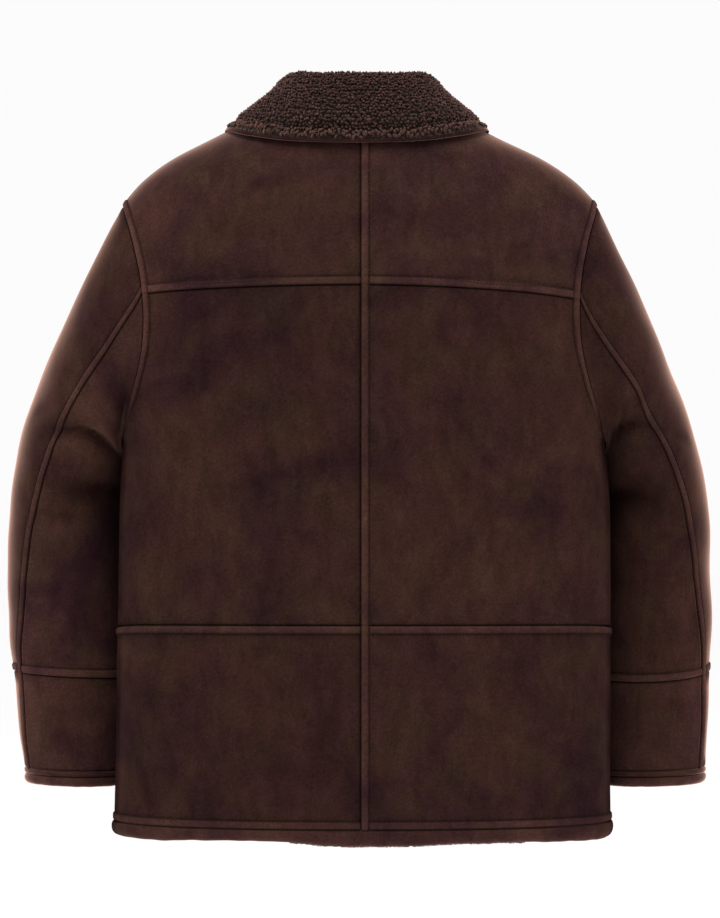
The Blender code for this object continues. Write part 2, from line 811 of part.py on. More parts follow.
def fading_band(underarm_share):
    """The armhole's band fades out under the arm."""
    def strength(edge, share):
        if edge != "right":
            return 1.0
        return 1 - ease((share - underarm_share * 0.5) / (underarm_share * 0.3))
    return strength


def side_curve(side, stops, underarm, bottom_drop):
    """The armhole down to the underarm, then the side seam."""
    def line(share):
        if share < underarm - 1e-9:
            return armhole(side, stop_turn(stops, share / underarm))
        part = (share - underarm) / (1 - underarm)
        return side * 90.0, UNDERARM_DROP + (bottom_drop - UNDERARM_DROP) * part
    return line


def side_rim(side, stops, underarm):
    def rim(u, v):
        if v > underarm + 1e-6:
            return None
        return armhole_rim(side, stop_turn(stops, v / underarm), -1)
    return rim


def make_back(side):
    underarm = 0.45
    stops = back_stops(side)
    place = coons(
        centre_line(YOKE_DROP_CENTRE, WAIST_DROP_CENTRE),
        side_curve(side, stops, underarm, WAIST_DROP_SIDE),
        lambda share: yoke_seam(side, share),
        lambda share: waist_seam(side, share),
    )
    panel = Panel(
        torso, place, ("right",) + centre_bands(side), strength=fading_band(underarm),
        rims={"right": side_rim(side, stops, underarm)},
    )
    middle = [underarm * k / 7 for k in range(1, 8)] + [0.53, 0.64, 0.76, 0.88]
    columns = (centre_start(side), BACK_COLUMNS, BANDED)
    grids = panel.grid(columns, (PLAIN, middle, PLAIN))
    return wall_object("back_" + side_name(side), grids, SUEDE)


def make_back_skirt(side):
    def right(share):
        return side * 90.0, WAIST_DROP_SIDE + (PANEL_HEM_DROP - WAIST_DROP_SIDE) * share

    def bottom(share):
        start = centre_back(PANEL_HEM_DROP)
        return start + (side * 90 - start) * share, PANEL_HEM_DROP

    centre = centre_line(WAIST_DROP_CENTRE, PANEL_HEM_DROP)
    place = coons(centre, right, lambda share: waist_seam(side, share), bottom)
    panel = Panel(torso, place, ("top", "bottom") + centre_bands(side))
    columns = (centre_start(side), BACK_COLUMNS, PLAIN)
    grids = panel.grid(columns, (BANDED, (0.20, 0.40, 0.60, 0.80), BANDED))
    return wall_object("back_skirt_" + side_name(side), grids, SUEDE)


def underlay(side, depth):
    """The right front steps inside the left one at the centre."""
    def lift(angle, drop):
        if side < 0:
            return 0.0
        x = torso_point(angle, drop).x - read_table(TORSO, "mid_x", drop)
        return -depth * (1 - ease((x - STEP_START) / STEP_WIDTH))
    return lift


def front_edge(side, drop):
    """Angle of a front's free edge, past the centre front."""
    return side * (180 + angle_for_x(OVERLAP, drop))


FRONT_TURN = 180 + degrees(asin(OVERLAP / NECK_HALF_WIDTH))


def make_front(side):
    neck_share = 0.46
    underarm = 0.42
    stops = front_stops(side)
    top_drop = neckline(side, FRONT_TURN)[1]
    lift = underlay(side, FRONT_UNDERLAY)
    fading = fading_band(underarm)

    def strength(edge, share):
        if edge == "bottom" and side > 0:
            return ease((share - 0.16) / 0.05)
        return fading(edge, share)

    def neck_turn_at(share):
        return FRONT_TURN + (NECK_TURN - FRONT_TURN) * share / neck_share

    def left(share):
        drop = top_drop + (PANEL_HEM_DROP - top_drop) * share
        return front_edge(side, drop), drop

    def top(share):
        if share <= neck_share:
            return neckline(side, neck_turn_at(share))
        return shoulder_seam(side, (share - neck_share) / (1 - neck_share))

    def bottom(share):
        start = front_edge(side, PANEL_HEM_DROP)
        return start + (side * 90 - start) * share, PANEL_HEM_DROP

    def top_rim(u, v):
        if u > neck_share + 1e-6:
            return None
        turn = neck_turn_at(u)
        return neck_rim(side, turn, -lift(*neckline(side, turn)))

    place = coons(left, side_curve(side, stops, underarm, PANEL_HEM_DROP), top, bottom)
    bands = ("right", "bottom", "left") if side < 0 else ("right", "bottom")
    panel = Panel(
        torso, place, bands, strength=strength, lift=lift,
        rims={"top": top_rim, "right": side_rim(side, stops, underarm)},
    )
    middle = [neck_share] + [neck_share + (1 - neck_share) * s for s in SEAM_STEPS]
    step = OVERLAP + STEP_START
    if side > 0:
        start = PLAIN + (step / 2, step, step + STEP_WIDTH / 2, step + STEP_WIDTH)
        columns = (start, middle, BANDED, 2)
    else:
        columns = (BANDED, [0.10, 0.16, 0.22, 0.28, 0.34, 0.40] + middle, BANDED)
    middle = [underarm * k / 13 for k in range(1, 14)] + [0.50, 0.60, 0.70, 0.80, 0.90]
    grids = panel.grid(columns, (PLAIN, middle, BANDED))
    return wall_object("front_" + side_name(side), grids, SUEDE)


def hem_back_angles(side):
    return even_stops(centre_back(PANEL_HEM_DROP), side * 90.0, 11)


def hem_front_angles(side):
    """The right hem has its stops where it steps inside the left one."""
    places = [-OVERLAP, OVERLAP / 4, STEP_START, STEP_START + STEP_WIDTH / 2]
    places += [STEP_START + STEP_WIDTH]
    angles = [180 - angle_for_x(x, PANEL_HEM_DROP) for x in places]
    return [side * a for a in angles + even_stops(angles[-1], 90.0, 8)[1:]]


def make_hem_roll(name, angles, lift):
    """The rolled hem: an outline carried along the bottom of the torso."""
    start = PANEL_HEM_DROP + SEAM_GAP
    angles = list(angles)
    for end, inside in ((0, 1), (-1, -2)):
        length = (torso_point(angles[end], start) - torso_point(angles[inside], start)).length
        angles[end] += (angles[inside] - angles[end]) * HALF_GAP / length
    back = ((SKIN + 0.3, 17.0), (SKIN + 2.2, 12.0), (SKIN + 2.2, 6.0), (SKIN + 0.3, 0.0))
    stations = []
    for angle in angles:
        outline = []
        for roll in HEM_ROLL:
            point, normal = torso(angle, start + roll.down)
            outline.append(point + normal * (roll.lift + lift(angle, start)))
        for depth, down in back:
            point, normal = torso(angle, start + down)
            outline.append(point + normal * (lift(angle, start) - depth))
        stations.append(outline)
    return swept_object(name, stations, SUEDE, closed=False)


# ------------------------------------------------------------------ sleeves
SLEEVE_ROWS_AT = (0.5, 1.2, 2.0, 2.8, 3.5, 4.05, 4.5, 4.95, 5.6, 6.4, 7.5, 8.8, 10.2)
CUFF_ROWS = (0.25, 0.50, 0.75)
CUFF_STEPS = 18


def seam_turns(side, at):
    """Turns of the two long seams: the front one, then the back one."""
    column = "back_right" if side > 0 else "back_left"
    back = read_table(SLEEVE_SEAMS, column, at)
    back += (yoke_turn(side) - read_table(SLEEVE_SEAMS, column, 0.0)) * (1 - ease(at / 3))
    return read_table(SLEEVE_SEAMS, "front_turn", at), back


def sleeve_turn(side, piece, u, at):
    """Turn at a share across the outer or the under piece."""
    front, back = seam_turns(side, at)
    if piece == "outer":
        return front + (back - front) * u
    return back + (front + 360 - back) * u


def sleeve_columns(side, piece):
    """Shares across a sleeve piece at which the armhole's rim has its corners."""
    front, back = seam_turns(side, 0.0)
    if piece == "outer":
        first, last = front, back
        turns = list(reversed(front_stops(side)[1:8])) + yoke_stops(side)[:-1]
    else:
        first, last = back, front + 360
        turns = back_stops(side)[1:] + [t + 360 for t in reversed(front_stops(side)[9:-1])]
    middle = [(turn - first) / (last - first) for turn in turns]
    return (PLAIN, middle, BANDED) if piece == "outer" else (PLAIN, middle, PLAIN)


def make_sleeve_piece(side, piece):
    surface = sleeve(side)

    def place(u, v):
        rough = v * (CROSS_AT_RIGHT if side > 0 else CROSS_AT_LEFT)
        turn = sleeve_turn(side, piece, u, rough)
        at = v * cross_seam(side, turn)
        return sleeve_turn(side, piece, u, at), at

    def top_rim(u, v):
        return armhole_rim(side, sleeve_turn(side, piece, u, 0.0), 1)

    bands = ("right", "bottom") if piece == "outer" else ("bottom",)
    panel = Panel(surface, place, bands, rims={"top": top_rim})
    rows = (PLAIN, [at / CROSS_AT_LEFT for at in SLEEVE_ROWS_AT], BANDED)
    grids = panel.grid(sleeve_columns(side, piece), rows)
    return wall_object(f"sleeve_{piece}_{side_name(side)}", grids, SUEDE)


def make_cuff_piece(side, piece):
    surface = sleeve(side)

    def place(u, v):
        turn = sleeve_turn(side, piece, u, 12.0)
        start = cross_seam(side, turn)
        at = start + (CUFF_AT - start) * v
        return sleeve_turn(side, piece, u, at), at

    bands = ("right",) if piece == "outer" else ()
    panel = Panel(surface, place, bands)
    grids = panel.grid(sleeve_columns(side, piece), (PLAIN, CUFF_ROWS, PLAIN))
    return wall_object(f"cuff_{piece}_{side_name(side)}", grids, SUEDE)


def make_cuff_roll(side):
    surface = sleeve(side)
    per_millimetre = (CUFF_END_AT - CUFF_AT) / 17.2
    start = CUFF_AT + SEAM_GAP * per_millimetre
    back = ((SKIN + 0.3, 17.6), (SKIN + 1.8, 12.0), (SKIN + 1.8, 6.0), (SKIN + 0.3, 0.0))
    stations = []
    for k in range(CUFF_STEPS):
        turn = 360 * k / CUFF_STEPS
        outline = []
        for roll in CUFF_ROLL:
            point, normal = surface(turn, start + roll.down * per_millimetre)
            outline.append(point + normal * roll.lift)
        for depth, down in back:
            point, normal = surface(turn, start + down * per_millimetre)
            outline.append(point - normal * depth)
        stations.append(outline)
    return swept_object("cuff_roll_" + side_name(side), stations, SUEDE, closed=True)


# ------------------------------------------------------------------ collar
def collar_station(turn):
    """Middle line of the collar's skin at one place round the neck, base to edge."""
    side = 1 if turn >= 0 else -1
    around = abs(turn)
    point, normal = torso(*neckline(side, around))
    out = Vector((normal.x, normal.y, 0.0)).normalized()
    up = Vector((0.0, 0.0, 1.0))
    through = neck_through(side, around)
    ahead = torso_point(*neckline(side, around + 2)) - torso_point(*neckline(side, around - 2))
    lift = through.cross(ahead).normalized()
    if lift.z < 0:
        lift = -lift
    base = point + through / 2 + lift * 0.88
    height = read_table(COLLAR, "fold_height", around)
    top = point - out * (COLLAR_SKIN / 2)
    top.z = height - COLLAR_FOLD_RADIUS - COLLAR_SKIN / 2
    line = [base, base.lerp(top, 0.5) - out * 0.6, top]
    for arc in (45, 90, 135, 180):
        swing = -out * cos(radians(arc)) + up * sin(radians(arc))
        line.append(top + out * COLLAR_FOLD_RADIUS + swing * COLLAR_FOLD_RADIUS)
    start = line[-1]
    angle = side * read_table(COLLAR, "edge_angle", around)
    edge, edge_normal = torso(angle, read_table(COLLAR, "edge_drop", around))
    end = edge + edge_normal * (COLLAR_SKIN / 2 + 0.9)
    bulge = read_table(COLLAR, "bulge", around)
    away = (out * 0.6 + edge_normal).normalized()
    for share in (0.28, 0.56, 0.84, 1.0):
        line.append(start.lerp(end, share) + away * (bulge * sin(pi * share)))
    return line


def grid_normals(grid):
    """Unit normals of a grid of points, from its neighbours."""
    normals = []
    for i, line in enumerate(grid):
        row = []
        for k, _ in enumerate(line):
            round_it = grid[min(i + 1, len(grid) - 1)][k] - grid[max(i - 1, 0)][k]
            along = line[min(k + 1, len(line) - 1)] - line[max(k - 1, 0)]
            row.append(along.cross(round_it).normalized())
        normals.append(row)
    return normals


def make_collar():
    steps = 34
    turns = [COLLAR_END_TURN * (2 * k / steps - 1) for k in range(steps + 1)]
    grid = [collar_station(turn) for turn in turns]
    normals = grid_normals(grid)
    outer = []
    inner = []
    for turn, line, ways in zip(turns, grid, normals):
        side = 1 if turn >= 0 else -1
        through = neck_through(side, abs(turn)) / 2
        wool = []
        suede = []
        for k, (point, way) in enumerate(zip(line, ways)):
            half = COLLAR_SKIN / 2 if k < len(line) - 1 else COLLAR_SKIN / 3
            wool.append(point + through if k == 0 else point + way * half)
            suede.append(point - through if k == 0 else point - way * half)
        outer.append(wool)
        inner.append(suede)
    return wall_object("collar", (outer, inner), FLEECE)


# ------------------------------------------------------------------ buttons
def make_button(number, drop):
    """A round button on its shank, on the outside of the left front."""
    point, normal = torso(180.0, drop)
    level = Vector((1.0, 0.0, 0.0))
    across = (level - normal * level.dot(normal)).normalized()
    upright = normal.cross(across).normalized()
    profile = (
        (3.2, 0.3), (3.2, 2.2), (BUTTON_RADIUS - 2.0, 2.4), (BUTTON_RADIUS, 4.2),
        (BUTTON_RADIUS - 1.5, 6.0), (BUTTON_RADIUS - 3.5, 5.2),
    )
    stations = []
    for k in range(14):
        turn = 2 * pi * k / 14
        way = across * cos(turn) + upright * sin(turn)
        stations.append([point + way * radius + normal * off for radius, off in profile])
    size = len(profile)
    vertices = [p for outline in stations for p in outline]
    faces = []
    for i in range(14):
        k = (i + 1) % 14
        for j in range(size - 1):
            faces.append((i * size + j, k * size + j, k * size + j + 1, i * size + j + 1))
    faces.append(tuple(i * size for i in range(14)))
    faces.append(tuple(i * size + size - 1 for i in reversed(range(14))))
    return finish_object(f"button_{number}", vertices, faces, HORN)


# ------------------------------------------------------------------ build
for old in list(bpy.data.objects):
    bpy.data.objects.remove(old, do_unlink=True)

for side in (-1, 1):
    make_yoke(side)
    make_back(side)
    make_back_skirt(side)
    make_front(side)
    for piece in ("outer", "under"):
        make_sleeve_piece(side, piece)
        make_cuff_piece(side, piece)
    make_cuff_roll(side)
    make_hem_roll("hem_back_" + side_name(side), hem_back_angles(side), lambda a, b: 0.0)
    make_hem_roll(
        "hem_front_" + side_name(side), hem_front_angles(side), underlay(side, HEM_UNDERLAY)
    )
make_collar()
for number, drop in enumerate(BUTTON_DROPS, 1):
    make_button(number, drop)
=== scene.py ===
"""Looks of the shearling coat: brushed suede outside, curled wool inside and on the collar.

Sizes are in millimetres until the meshes are made.  The back of the coat faces -Y, +X is
the wearer's right, and a "drop" is the distance below the neckline's centre back.
"""

from collections import namedtuple

import bpy
import numpy as np
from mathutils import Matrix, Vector


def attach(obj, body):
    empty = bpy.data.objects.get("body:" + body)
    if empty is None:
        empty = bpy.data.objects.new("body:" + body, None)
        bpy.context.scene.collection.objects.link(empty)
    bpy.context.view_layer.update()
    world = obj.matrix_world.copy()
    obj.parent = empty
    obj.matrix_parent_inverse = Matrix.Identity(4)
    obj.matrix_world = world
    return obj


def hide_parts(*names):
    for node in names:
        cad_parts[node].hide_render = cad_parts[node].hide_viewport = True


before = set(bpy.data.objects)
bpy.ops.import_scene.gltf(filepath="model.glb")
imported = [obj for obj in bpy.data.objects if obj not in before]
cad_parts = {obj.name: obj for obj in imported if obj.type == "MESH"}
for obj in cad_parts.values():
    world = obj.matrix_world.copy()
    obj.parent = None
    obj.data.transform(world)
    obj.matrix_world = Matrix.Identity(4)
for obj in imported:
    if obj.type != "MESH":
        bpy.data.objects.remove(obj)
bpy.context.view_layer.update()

# ------------------------------------------------------------------ named sizes
MM = 0.001
SKIN = 7.5                   # leather with its wool
SEAM_GAP = 0.3
BAND_HEIGHT = 1.3            # lapped strip beside a seam
BAND_EDGE = 6.6              # where its top starts to round off
STITCH_LINE = 8.6            # the row of stitches beside it
EDGE_DIP = 1.3               # skin drawn down by the sewing
SEAM_PRESS = 0.4             # how far an edge presses into its neighbour
NECK_FULLNESS = 2.0          # how square a ring of the torso is: 2 is an ellipse
FULLNESS = 2.4
NECK_HALF_WIDTH = 80.0
NECK_SIDE_RISE = 10.0
NECK_FRONT_DROP = 75.0
SHOULDER_SEAM_SETBACK = 10.0
CENTRE_SEAM_X = -0.8
YOKE_DROP_CENTRE = 178.7
YOKE_DROP_LEFT = 186.5
YOKE_DROP_RIGHT = 192.5
WAIST_DROP_CENTRE = 523.5
WAIST_DROP_SIDE = 531.0
PANEL_HEM_DROP = 729.5
UNDERARM_DROP = 335.0
OVERLAP = 22.0               # each front reaches this far past the centre
FRONT_UNDERLAY = 9.0         # how far the right front steps inside the left one
HEM_UNDERLAY = 13.4
STEP_START = 32.0
STEP_WIDTH = 30.0
COLLAR_SKIN = 9.0
COLLAR_FOLD_RADIUS = 6.2
COLLAR_END_TURN = 174.0
COLLAR_CORNER_TURN = 92.0
BUTTON_DROPS = (112.0, 225.0, 338.0, 451.0, 564.0)
BUTTON_HOLE_OFFSET = 2.2
SPACING = 5.0                # mesh spacing away from the seams
STITCH_PITCH = 3.4           # 7 to 8 stitches to the inch
STITCH_HALF_LENGTH = 1.0
STITCH_HALF_WIDTH = 0.62
STITCH_HEIGHT = 0.45
CURL_PITCH = 3.5             # a curl of lamb's wool is 3 to 4 mm across
FRINGE_PITCH = 2.9
HEM_CURL_PITCH = 2.0
HEM_CURL_SIZE = 0.6
HEM_CURLS_LEFT_END = -78.0
HEM_CURLS_RIGHT_END = 166.0
RIM_FADE = 14.0              # a panel turns into its shared rim over this width
ROLL_SPACING = 4.0
HEM_SEED = 60

# Sizes of the patterns.  The suede's own grain is 0.3 mm and is drawn coarser to show.
DYE_PATCH = 105.0
DYE_TONE = 46.0
BRUSH_STROKE = 15.0
SUEDE_GRAIN = 2.2
SUEDE_FUZZ = 0.9
SUEDE_DIMPLE = 7.0
SEWN_CRIMP = 4.0
WOOL_FLECK = 1.1
WOOL_PATCH = 24.0
MAT_CURL = 4.0
MAT_BEND = 5.0
THREAD_TWIST = 0.5
HORN_STREAK = 7.0

# ------------------------------------------------------------------ tables
Ring = namedtuple("Ring", "drop half_width mid_x back_depth front_depth")
TORSO = [
    Ring(-14, 72.5, -3.0, 62.0, 60.0),
    Ring(-10, 80.0, -3.3, 65.0, 63.0),
    Ring(0, 103.0, -4.5, 70.0, 69.0),
    Ring(8, 121.0, -5.5, 75.0, 74.0),
    Ring(23, 150.0, -6.0, 83.0, 82.0),
    Ring(44, 192.0, -4.5, 92.0, 92.0),
    Ring(65, 222.0, -3.0, 99.0, 100.0),
    Ring(85, 241.5, -2.0, 103.5, 105.0),
    Ring(92, 246.0, -1.7, 105.0, 107.0),
    Ring(110, 255.0, -1.4, 107.0, 109.0),
    Ring(130, 260.0, -1.2, 108.5, 111.0),
    Ring(150, 262.0, -1.0, 110.0, 113.0),
    Ring(208, 262.0, 0.0, 111.0, 117.0),
    Ring(260, 260.0, 0.6, 110.0, 118.0),
    Ring(296, 256.0, 1.0, 109.0, 118.0),
    Ring(320, 252.5, 1.3, 108.0, 117.5),
    Ring(335, 250.5, 1.5, 107.0, 117.0),
    Ring(358, 253.0, 2.3, 106.0, 116.0),
    Ring(400, 255.0, 3.0, 105.0, 116.0),
    Ring(460, 255.5, 3.0, 105.0, 117.0),
    Ring(544, 256.5, 2.4, 108.0, 120.0),
    Ring(640, 257.5, 1.8, 111.0, 123.0),
    Ring(760, 258.5, 1.5, 114.0, 126.0),
]

Armhole = namedtuple("Armhole", "turn back_angle front_angle")
ARMHOLE = [
    Armhole(0, 90.0, 90.0),
    Armhole(15, 76.1, 75.1),
    Armhole(30, 66.1, 64.6),
    Armhole(45, 59.8, 57.5),
    Armhole(60, 56.1, 53.0),
    Armhole(75, 54.3, 50.7),
    Armhole(90, 53.9, 50.1),
    Armhole(105, 55.3, 51.7),
    Armhole(120, 59.1, 55.9),
    Armhole(135, 64.8, 62.2),
    Armhole(150, 71.7, 70.0),
    Armhole(165, 79.7, 78.6),
    Armhole(180, 90.0, 90.0),
]
ARMHOLE_MID_DROP = 213.5
ARMHOLE_HALF_HEIGHT = 121.5

Sleeve = namedtuple(
    "Sleeve",
    "at outer_left outer_right outer_drop inner_left inner_right inner_drop mid_y half_depth lean",
)
SLEEVE = [
    Sleeve(0, 247.5, 244.5, 92.0, 250.5, 250.5, 335.0, 5.0, 74.5, 0.0),
    Sleeve(1, 269.5, 265.0, 131.0, 254.0, 256.8, 344.0, 10.0, 77.5, 8.0),
    Sleeve(2, 291.5, 286.0, 174.0, 255.5, 259.0, 354.0, 15.5, 79.5, 18.0),
    Sleeve(3, 312.5, 305.5, 216.0, 254.0, 258.0, 366.0, 22.5, 80.5, 26.0),
    Sleeve(4, 331.0, 322.5, 257.0, 252.0, 256.5, 380.0, 31.0, 80.0, 28.0),
    Sleeve(5, 348.0, 339.5, 298.0, 250.5, 255.0, 395.0, 41.0, 78.0, 26.0),
    Sleeve(6, 361.5, 354.0, 340.0, 248.5, 252.0, 412.0, 52.0, 75.0, 22.0),
    Sleeve(7, 369.5, 364.5, 381.0, 246.5, 249.0, 434.0, 62.0, 72.5, 16.0),
    Sleeve(8, 374.5, 369.5, 423.0, 244.5, 246.5, 461.0, 71.0, 70.0, 10.0),
    Sleeve(9, 376.5, 371.5, 465.0, 243.0, 245.0, 492.0, 78.0, 67.5, 5.0),
    Sleeve(10, 377.0, 373.0, 507.0, 242.0, 244.0, 525.0, 83.0, 65.0, 0.0),
    Sleeve(11, 375.0, 373.5, 550.0, 241.5, 243.5, 560.0, 87.0, 62.5, 0.0),
    Sleeve(12, 369.5, 371.5, 592.0, 241.5, 243.5, 597.0, 89.0, 60.0, 0.0),
    Sleeve(13, 366.0, 370.0, 635.0, 242.0, 244.0, 638.0, 91.0, 57.5, 0.0),
    Sleeve(14, 360.5, 367.5, 678.0, 243.0, 245.0, 680.0, 92.0, 55.5, 0.0),
    Sleeve(15, 356.0, 364.5, 721.0, 244.0, 246.0, 722.0, 92.0, 54.0, 0.0),
]
CAP_BLEND = 3.2

SleeveSeam = namedtuple("SleeveSeam", "at back_left back_right front_turn")
SLEEVE_SEAMS = [
    SleeveSeam(0, 77.2, 80.0, -104.0),
    SleeveSeam(1, 79.5, 85.5, -106.0),
    SleeveSeam(2, 83.5, 88.0, -108.0),
    SleeveSeam(3, 82.5, 87.0, -110.0),
    SleeveSeam(4, 77.0, 83.0, -112.0),
    SleeveSeam(5, 72.0, 75.5, -114.0),
    SleeveSeam(6, 68.0, 68.5, -116.0),
    SleeveSeam(8, 56.5, 56.0, -118.0),
    SleeveSeam(10, 47.0, 46.0, -118.0),
    SleeveSeam(12, 34.0, 34.5, -118.0),
    SleeveSeam(15, 30.0, 33.0, -118.0),
]
CROSS_AT_LEFT = 11.72
CROSS_AT_RIGHT = 11.70
CROSS_DIP_LEFT = 0.02
CROSS_DIP_RIGHT = 0.17
CUFF_AT = 14.12
CUFF_END_AT = 14.52
CUFF_ROLL_HEIGHT = 17.2

# Folds of a sleeve: middle, half length round, half width along, depth in, slant.
# The first twelve are the solids' own, the rest are the finer creases round them.
Fold = namedtuple("Fold", "side turn at half_turn half_at depth slant")
FOLDS = [
    Fold(-1, 108.0, 3.68, 60.0, 0.26, 6.5, -0.033),
    Fold(-1, 112.0, 2.72, 46.0, 0.45, -4.4, -0.026),
    Fold(-1, 118.0, 5.75, 62.0, 0.48, 5.0, -0.028),
    Fold(-1, 85.0, 12.80, 36.0, 0.20, 2.0, 0.004),
    Fold(-1, -84.0, 4.90, 62.0, 0.34, 5.0, 0.014),
    Fold(-1, -100.0, 6.60, 45.0, 0.45, 3.0, 0.010),
    Fold(1, 112.0, 3.10, 52.0, 0.30, 4.8, -0.040),
    Fold(1, 110.0, 2.20, 42.0, 0.42, -2.6, -0.036),
    Fold(1, 112.0, 6.20, 60.0, 0.45, 4.4, -0.030),
    Fold(1, 80.0, 12.60, 34.0, 0.20, 1.8, -0.003),
    Fold(1, -86.0, 4.80, 60.0, 0.34, 5.0, 0.014),
    Fold(1, -98.0, 6.80, 45.0, 0.45, 3.0, 0.010),
    Fold(-1, 102.0, 3.86, 48.0, 0.10, 3.4, -0.030),
    Fold(-1, 130.0, 1.10, 28.0, 0.32, 5.0, 0.004),
    Fold(-1, 96.0, 4.75, 40.0, 0.30, -1.8, -0.024),
    Fold(-1, 47.0, 4.75, 18.0, 0.18, 2.2, -0.020),
    Fold(-1, 84.0, 7.25, 36.0, 0.15, 2.2, -0.010),
    Fold(-1, 70.0, 13.10, 24.0, 0.10, 1.2, 0.006),
    Fold(-1, 104.0, 12.40, 22.0, 0.09, 0.9, -0.006),
    Fold(-1, 60.0, 9.60, 40.0, 0.22, 1.2, -0.008),
    Fold(-1, -70.0, 4.60, 40.0, 0.12, 2.2, 0.016),
    Fold(-1, -92.0, 5.60, 34.0, 0.14, 1.8, 0.004),
    Fold(-1, -60.0, 12.60, 30.0, 0.12, 1.2, 0.004),
    Fold(1, 104.0, 3.50, 34.0, 0.11, 2.4, -0.040),
    Fold(1, 106.0, 5.00, 40.0, 0.34, -2.6, -0.030),
    Fold(1, 120.0, 2.60, 22.0, 0.16, 2.4, 0.004),
    Fold(1, 50.0, 5.45, 18.0, 0.16, 2.2, -0.020),
    Fold(1, 85.0, 7.90, 28.0, 0.18, 1.8, -0.016),
    Fold(1, 92.0, 12.30, 22.0, 0.09, 1.0, -0.004),
    Fold(1, 62.0, 12.95, 26.0, 0.10, 1.2, 0.004),
    Fold(1, 64.0, 9.10, 38.0, 0.22, 1.1, -0.008),
    Fold(1, -72.0, 4.50, 40.0, 0.12, 2.2, 0.018),
    Fold(1, -90.0, 5.80, 34.0, 0.14, 1.8, 0.002),
    Fold(1, -64.0, 12.90, 30.0, 0.12, 1.2, -0.004),
]

# Painted shade in the hollows of a sleeve, and painted highlight on a puffed fold where the depth
# is below zero
Shade = namedtuple("Shade", "side turn at half_turn half_at depth")
SHADES = [
    Shade(-1, 116.0, 6.3, 34.0, 0.75, 0.34),
    Shade(-1, 131.0, 0.7, 16.0, 0.55, 0.95),
    Shade(-1, 98.0, 2.7, 20.0, 0.50, -0.20),
    Shade(-1, 96.0, 4.9, 26.0, 0.35, -0.16),
    Shade(-1, 104.0, 12.6, 24.0, 0.20, 0.12),
    Shade(1, 134.0, 1.8, 28.0, 1.00, 0.34),
    Shade(1, 118.0, 6.2, 38.0, 0.85, 0.30),
    Shade(1, 102.0, 5.2, 20.0, 0.25, -0.22),
    Shade(1, 50.0, 5.55, 8.0, 0.25, 0.20),
    Shade(1, 84.0, 7.9, 12.0, 0.30, 0.20),
    Shade(1, 80.0, 4.2, 24.0, 0.60, -0.12),
    Shade(1, 96.0, 12.5, 26.0, 0.20, 0.12),
]

# Soft waves of the body, by angle round it and drop: half sizes, depth and slant
Wave = namedtuple("Wave", "angle drop half_angle half_drop depth slant")
BODY_WAVES = [
    Wave(-62.0, 300.0, 16.0, 26.0, 2.2, 1.6),
    Wave(60.0, 290.0, 15.0, 24.0, 2.0, -1.8),
    Wave(-70.0, 372.0, 20.0, 30.0, 1.8, 1.0),
    Wave(68.0, 384.0, 20.0, 34.0, 1.6, -1.0),
    Wave(-14.0, 420.0, 5.0, 120.0, 1.0, 0.0),
    Wave(28.0, 300.0, 7.0, 110.0, 0.8, 0.0),
    Wave(-42.0, 640.0, 9.0, 80.0, 1.2, 0.0),
    Wave(36.0, 650.0, 9.0, 76.0, 1.0, 0.0),
    Wave(-128.0, 250.0, 14.0, 30.0, 2.4, -1.4),
    Wave(126.0, 262.0, 14.0, 28.0, 2.2, 1.4),
    Wave(-112.0, 380.0, 18.0, 34.0, 1.8, -1.0),
    Wave(114.0, 370.0, 18.0, 36.0, 1.6, 1.0),
    Wave(-150.0, 600.0, 9.0, 90.0, 1.4, 0.0),
    Wave(146.0, 620.0, 9.0, 86.0, 1.2, 0.0),
]

Collar = namedtuple("Collar", "turn fold_height edge_angle edge_drop bulge")
COLLAR = [
    Collar(0, 39.5, 0.0, 36.0, 5.0),
    Collar(30, 40.0, 21.9, 34.0, 5.0),
    Collar(55, 42.0, 42.0, 26.5, 3.0),
    Collar(75, 34.0, 64.0, 16.5, 0.5),
    Collar(90, 29.0, 87.0, 11.5, 1.5),
    Collar(105, 20.0, 111.0, 17.0, 2.5),
    Collar(120, 8.0, 132.0, 35.0, 3.0),
    Collar(150, -32.0, 153.9, 82.0, 6.0),
    Collar(174, -48.0, 166.8, 138.0, 5.0),
]

# Rolls: distance down from the panel, and how far the skin stands out or in
Roll = namedtuple("Roll", "down lift")
HEM_ROLL = [
    Roll(0.0, -2.6), Roll(0.5, -0.6), Roll(1.3, 0.9), Roll(2.6, 2.0), Roll(4.6, 2.6),
    Roll(7.0, 2.7), Roll(9.4, 2.4), Roll(11.6, 1.5), Roll(13.4, 0.2), Roll(14.8, -1.5),
    Roll(15.5, -3.3), Roll(15.6, -5.2), Roll(14.9, -7.0), Roll(12.8, -8.6),
    Roll(9.6, -9.6), Roll(6.0, -9.8), Roll(2.6, -9.2), Roll(0.3, -7.6),
]
# How much lower the hem's roll hangs along the back
HemSag = namedtuple("HemSag", "x sunk")
HEM_SAG = [
    HemSag(-262, 0.0), HemSag(-247, -1.2), HemSag(-206, -1.0), HemSag(-165, -2.4),
    HemSag(-124, -3.5), HemSag(-88, -2.9), HemSag(-62, -1.0), HemSag(-41, 0.8), HemSag(-21, 2.0),
    HemSag(0, 1.6), HemSag(21, 1.5), HemSag(41, 1.2), HemSag(62, 0.8), HemSag(82, -0.2),
    HemSag(124, -0.7), HemSag(165, -0.7), HemSag(185, 0.4), HemSag(206, 0.7), HemSag(227, 1.4),
    HemSag(247, 1.5), HemSag(262, 0.0),
]
HEM_LOWER_EDGE = slice(9, 13)   # rows of the roll at which the wool shows below the skin

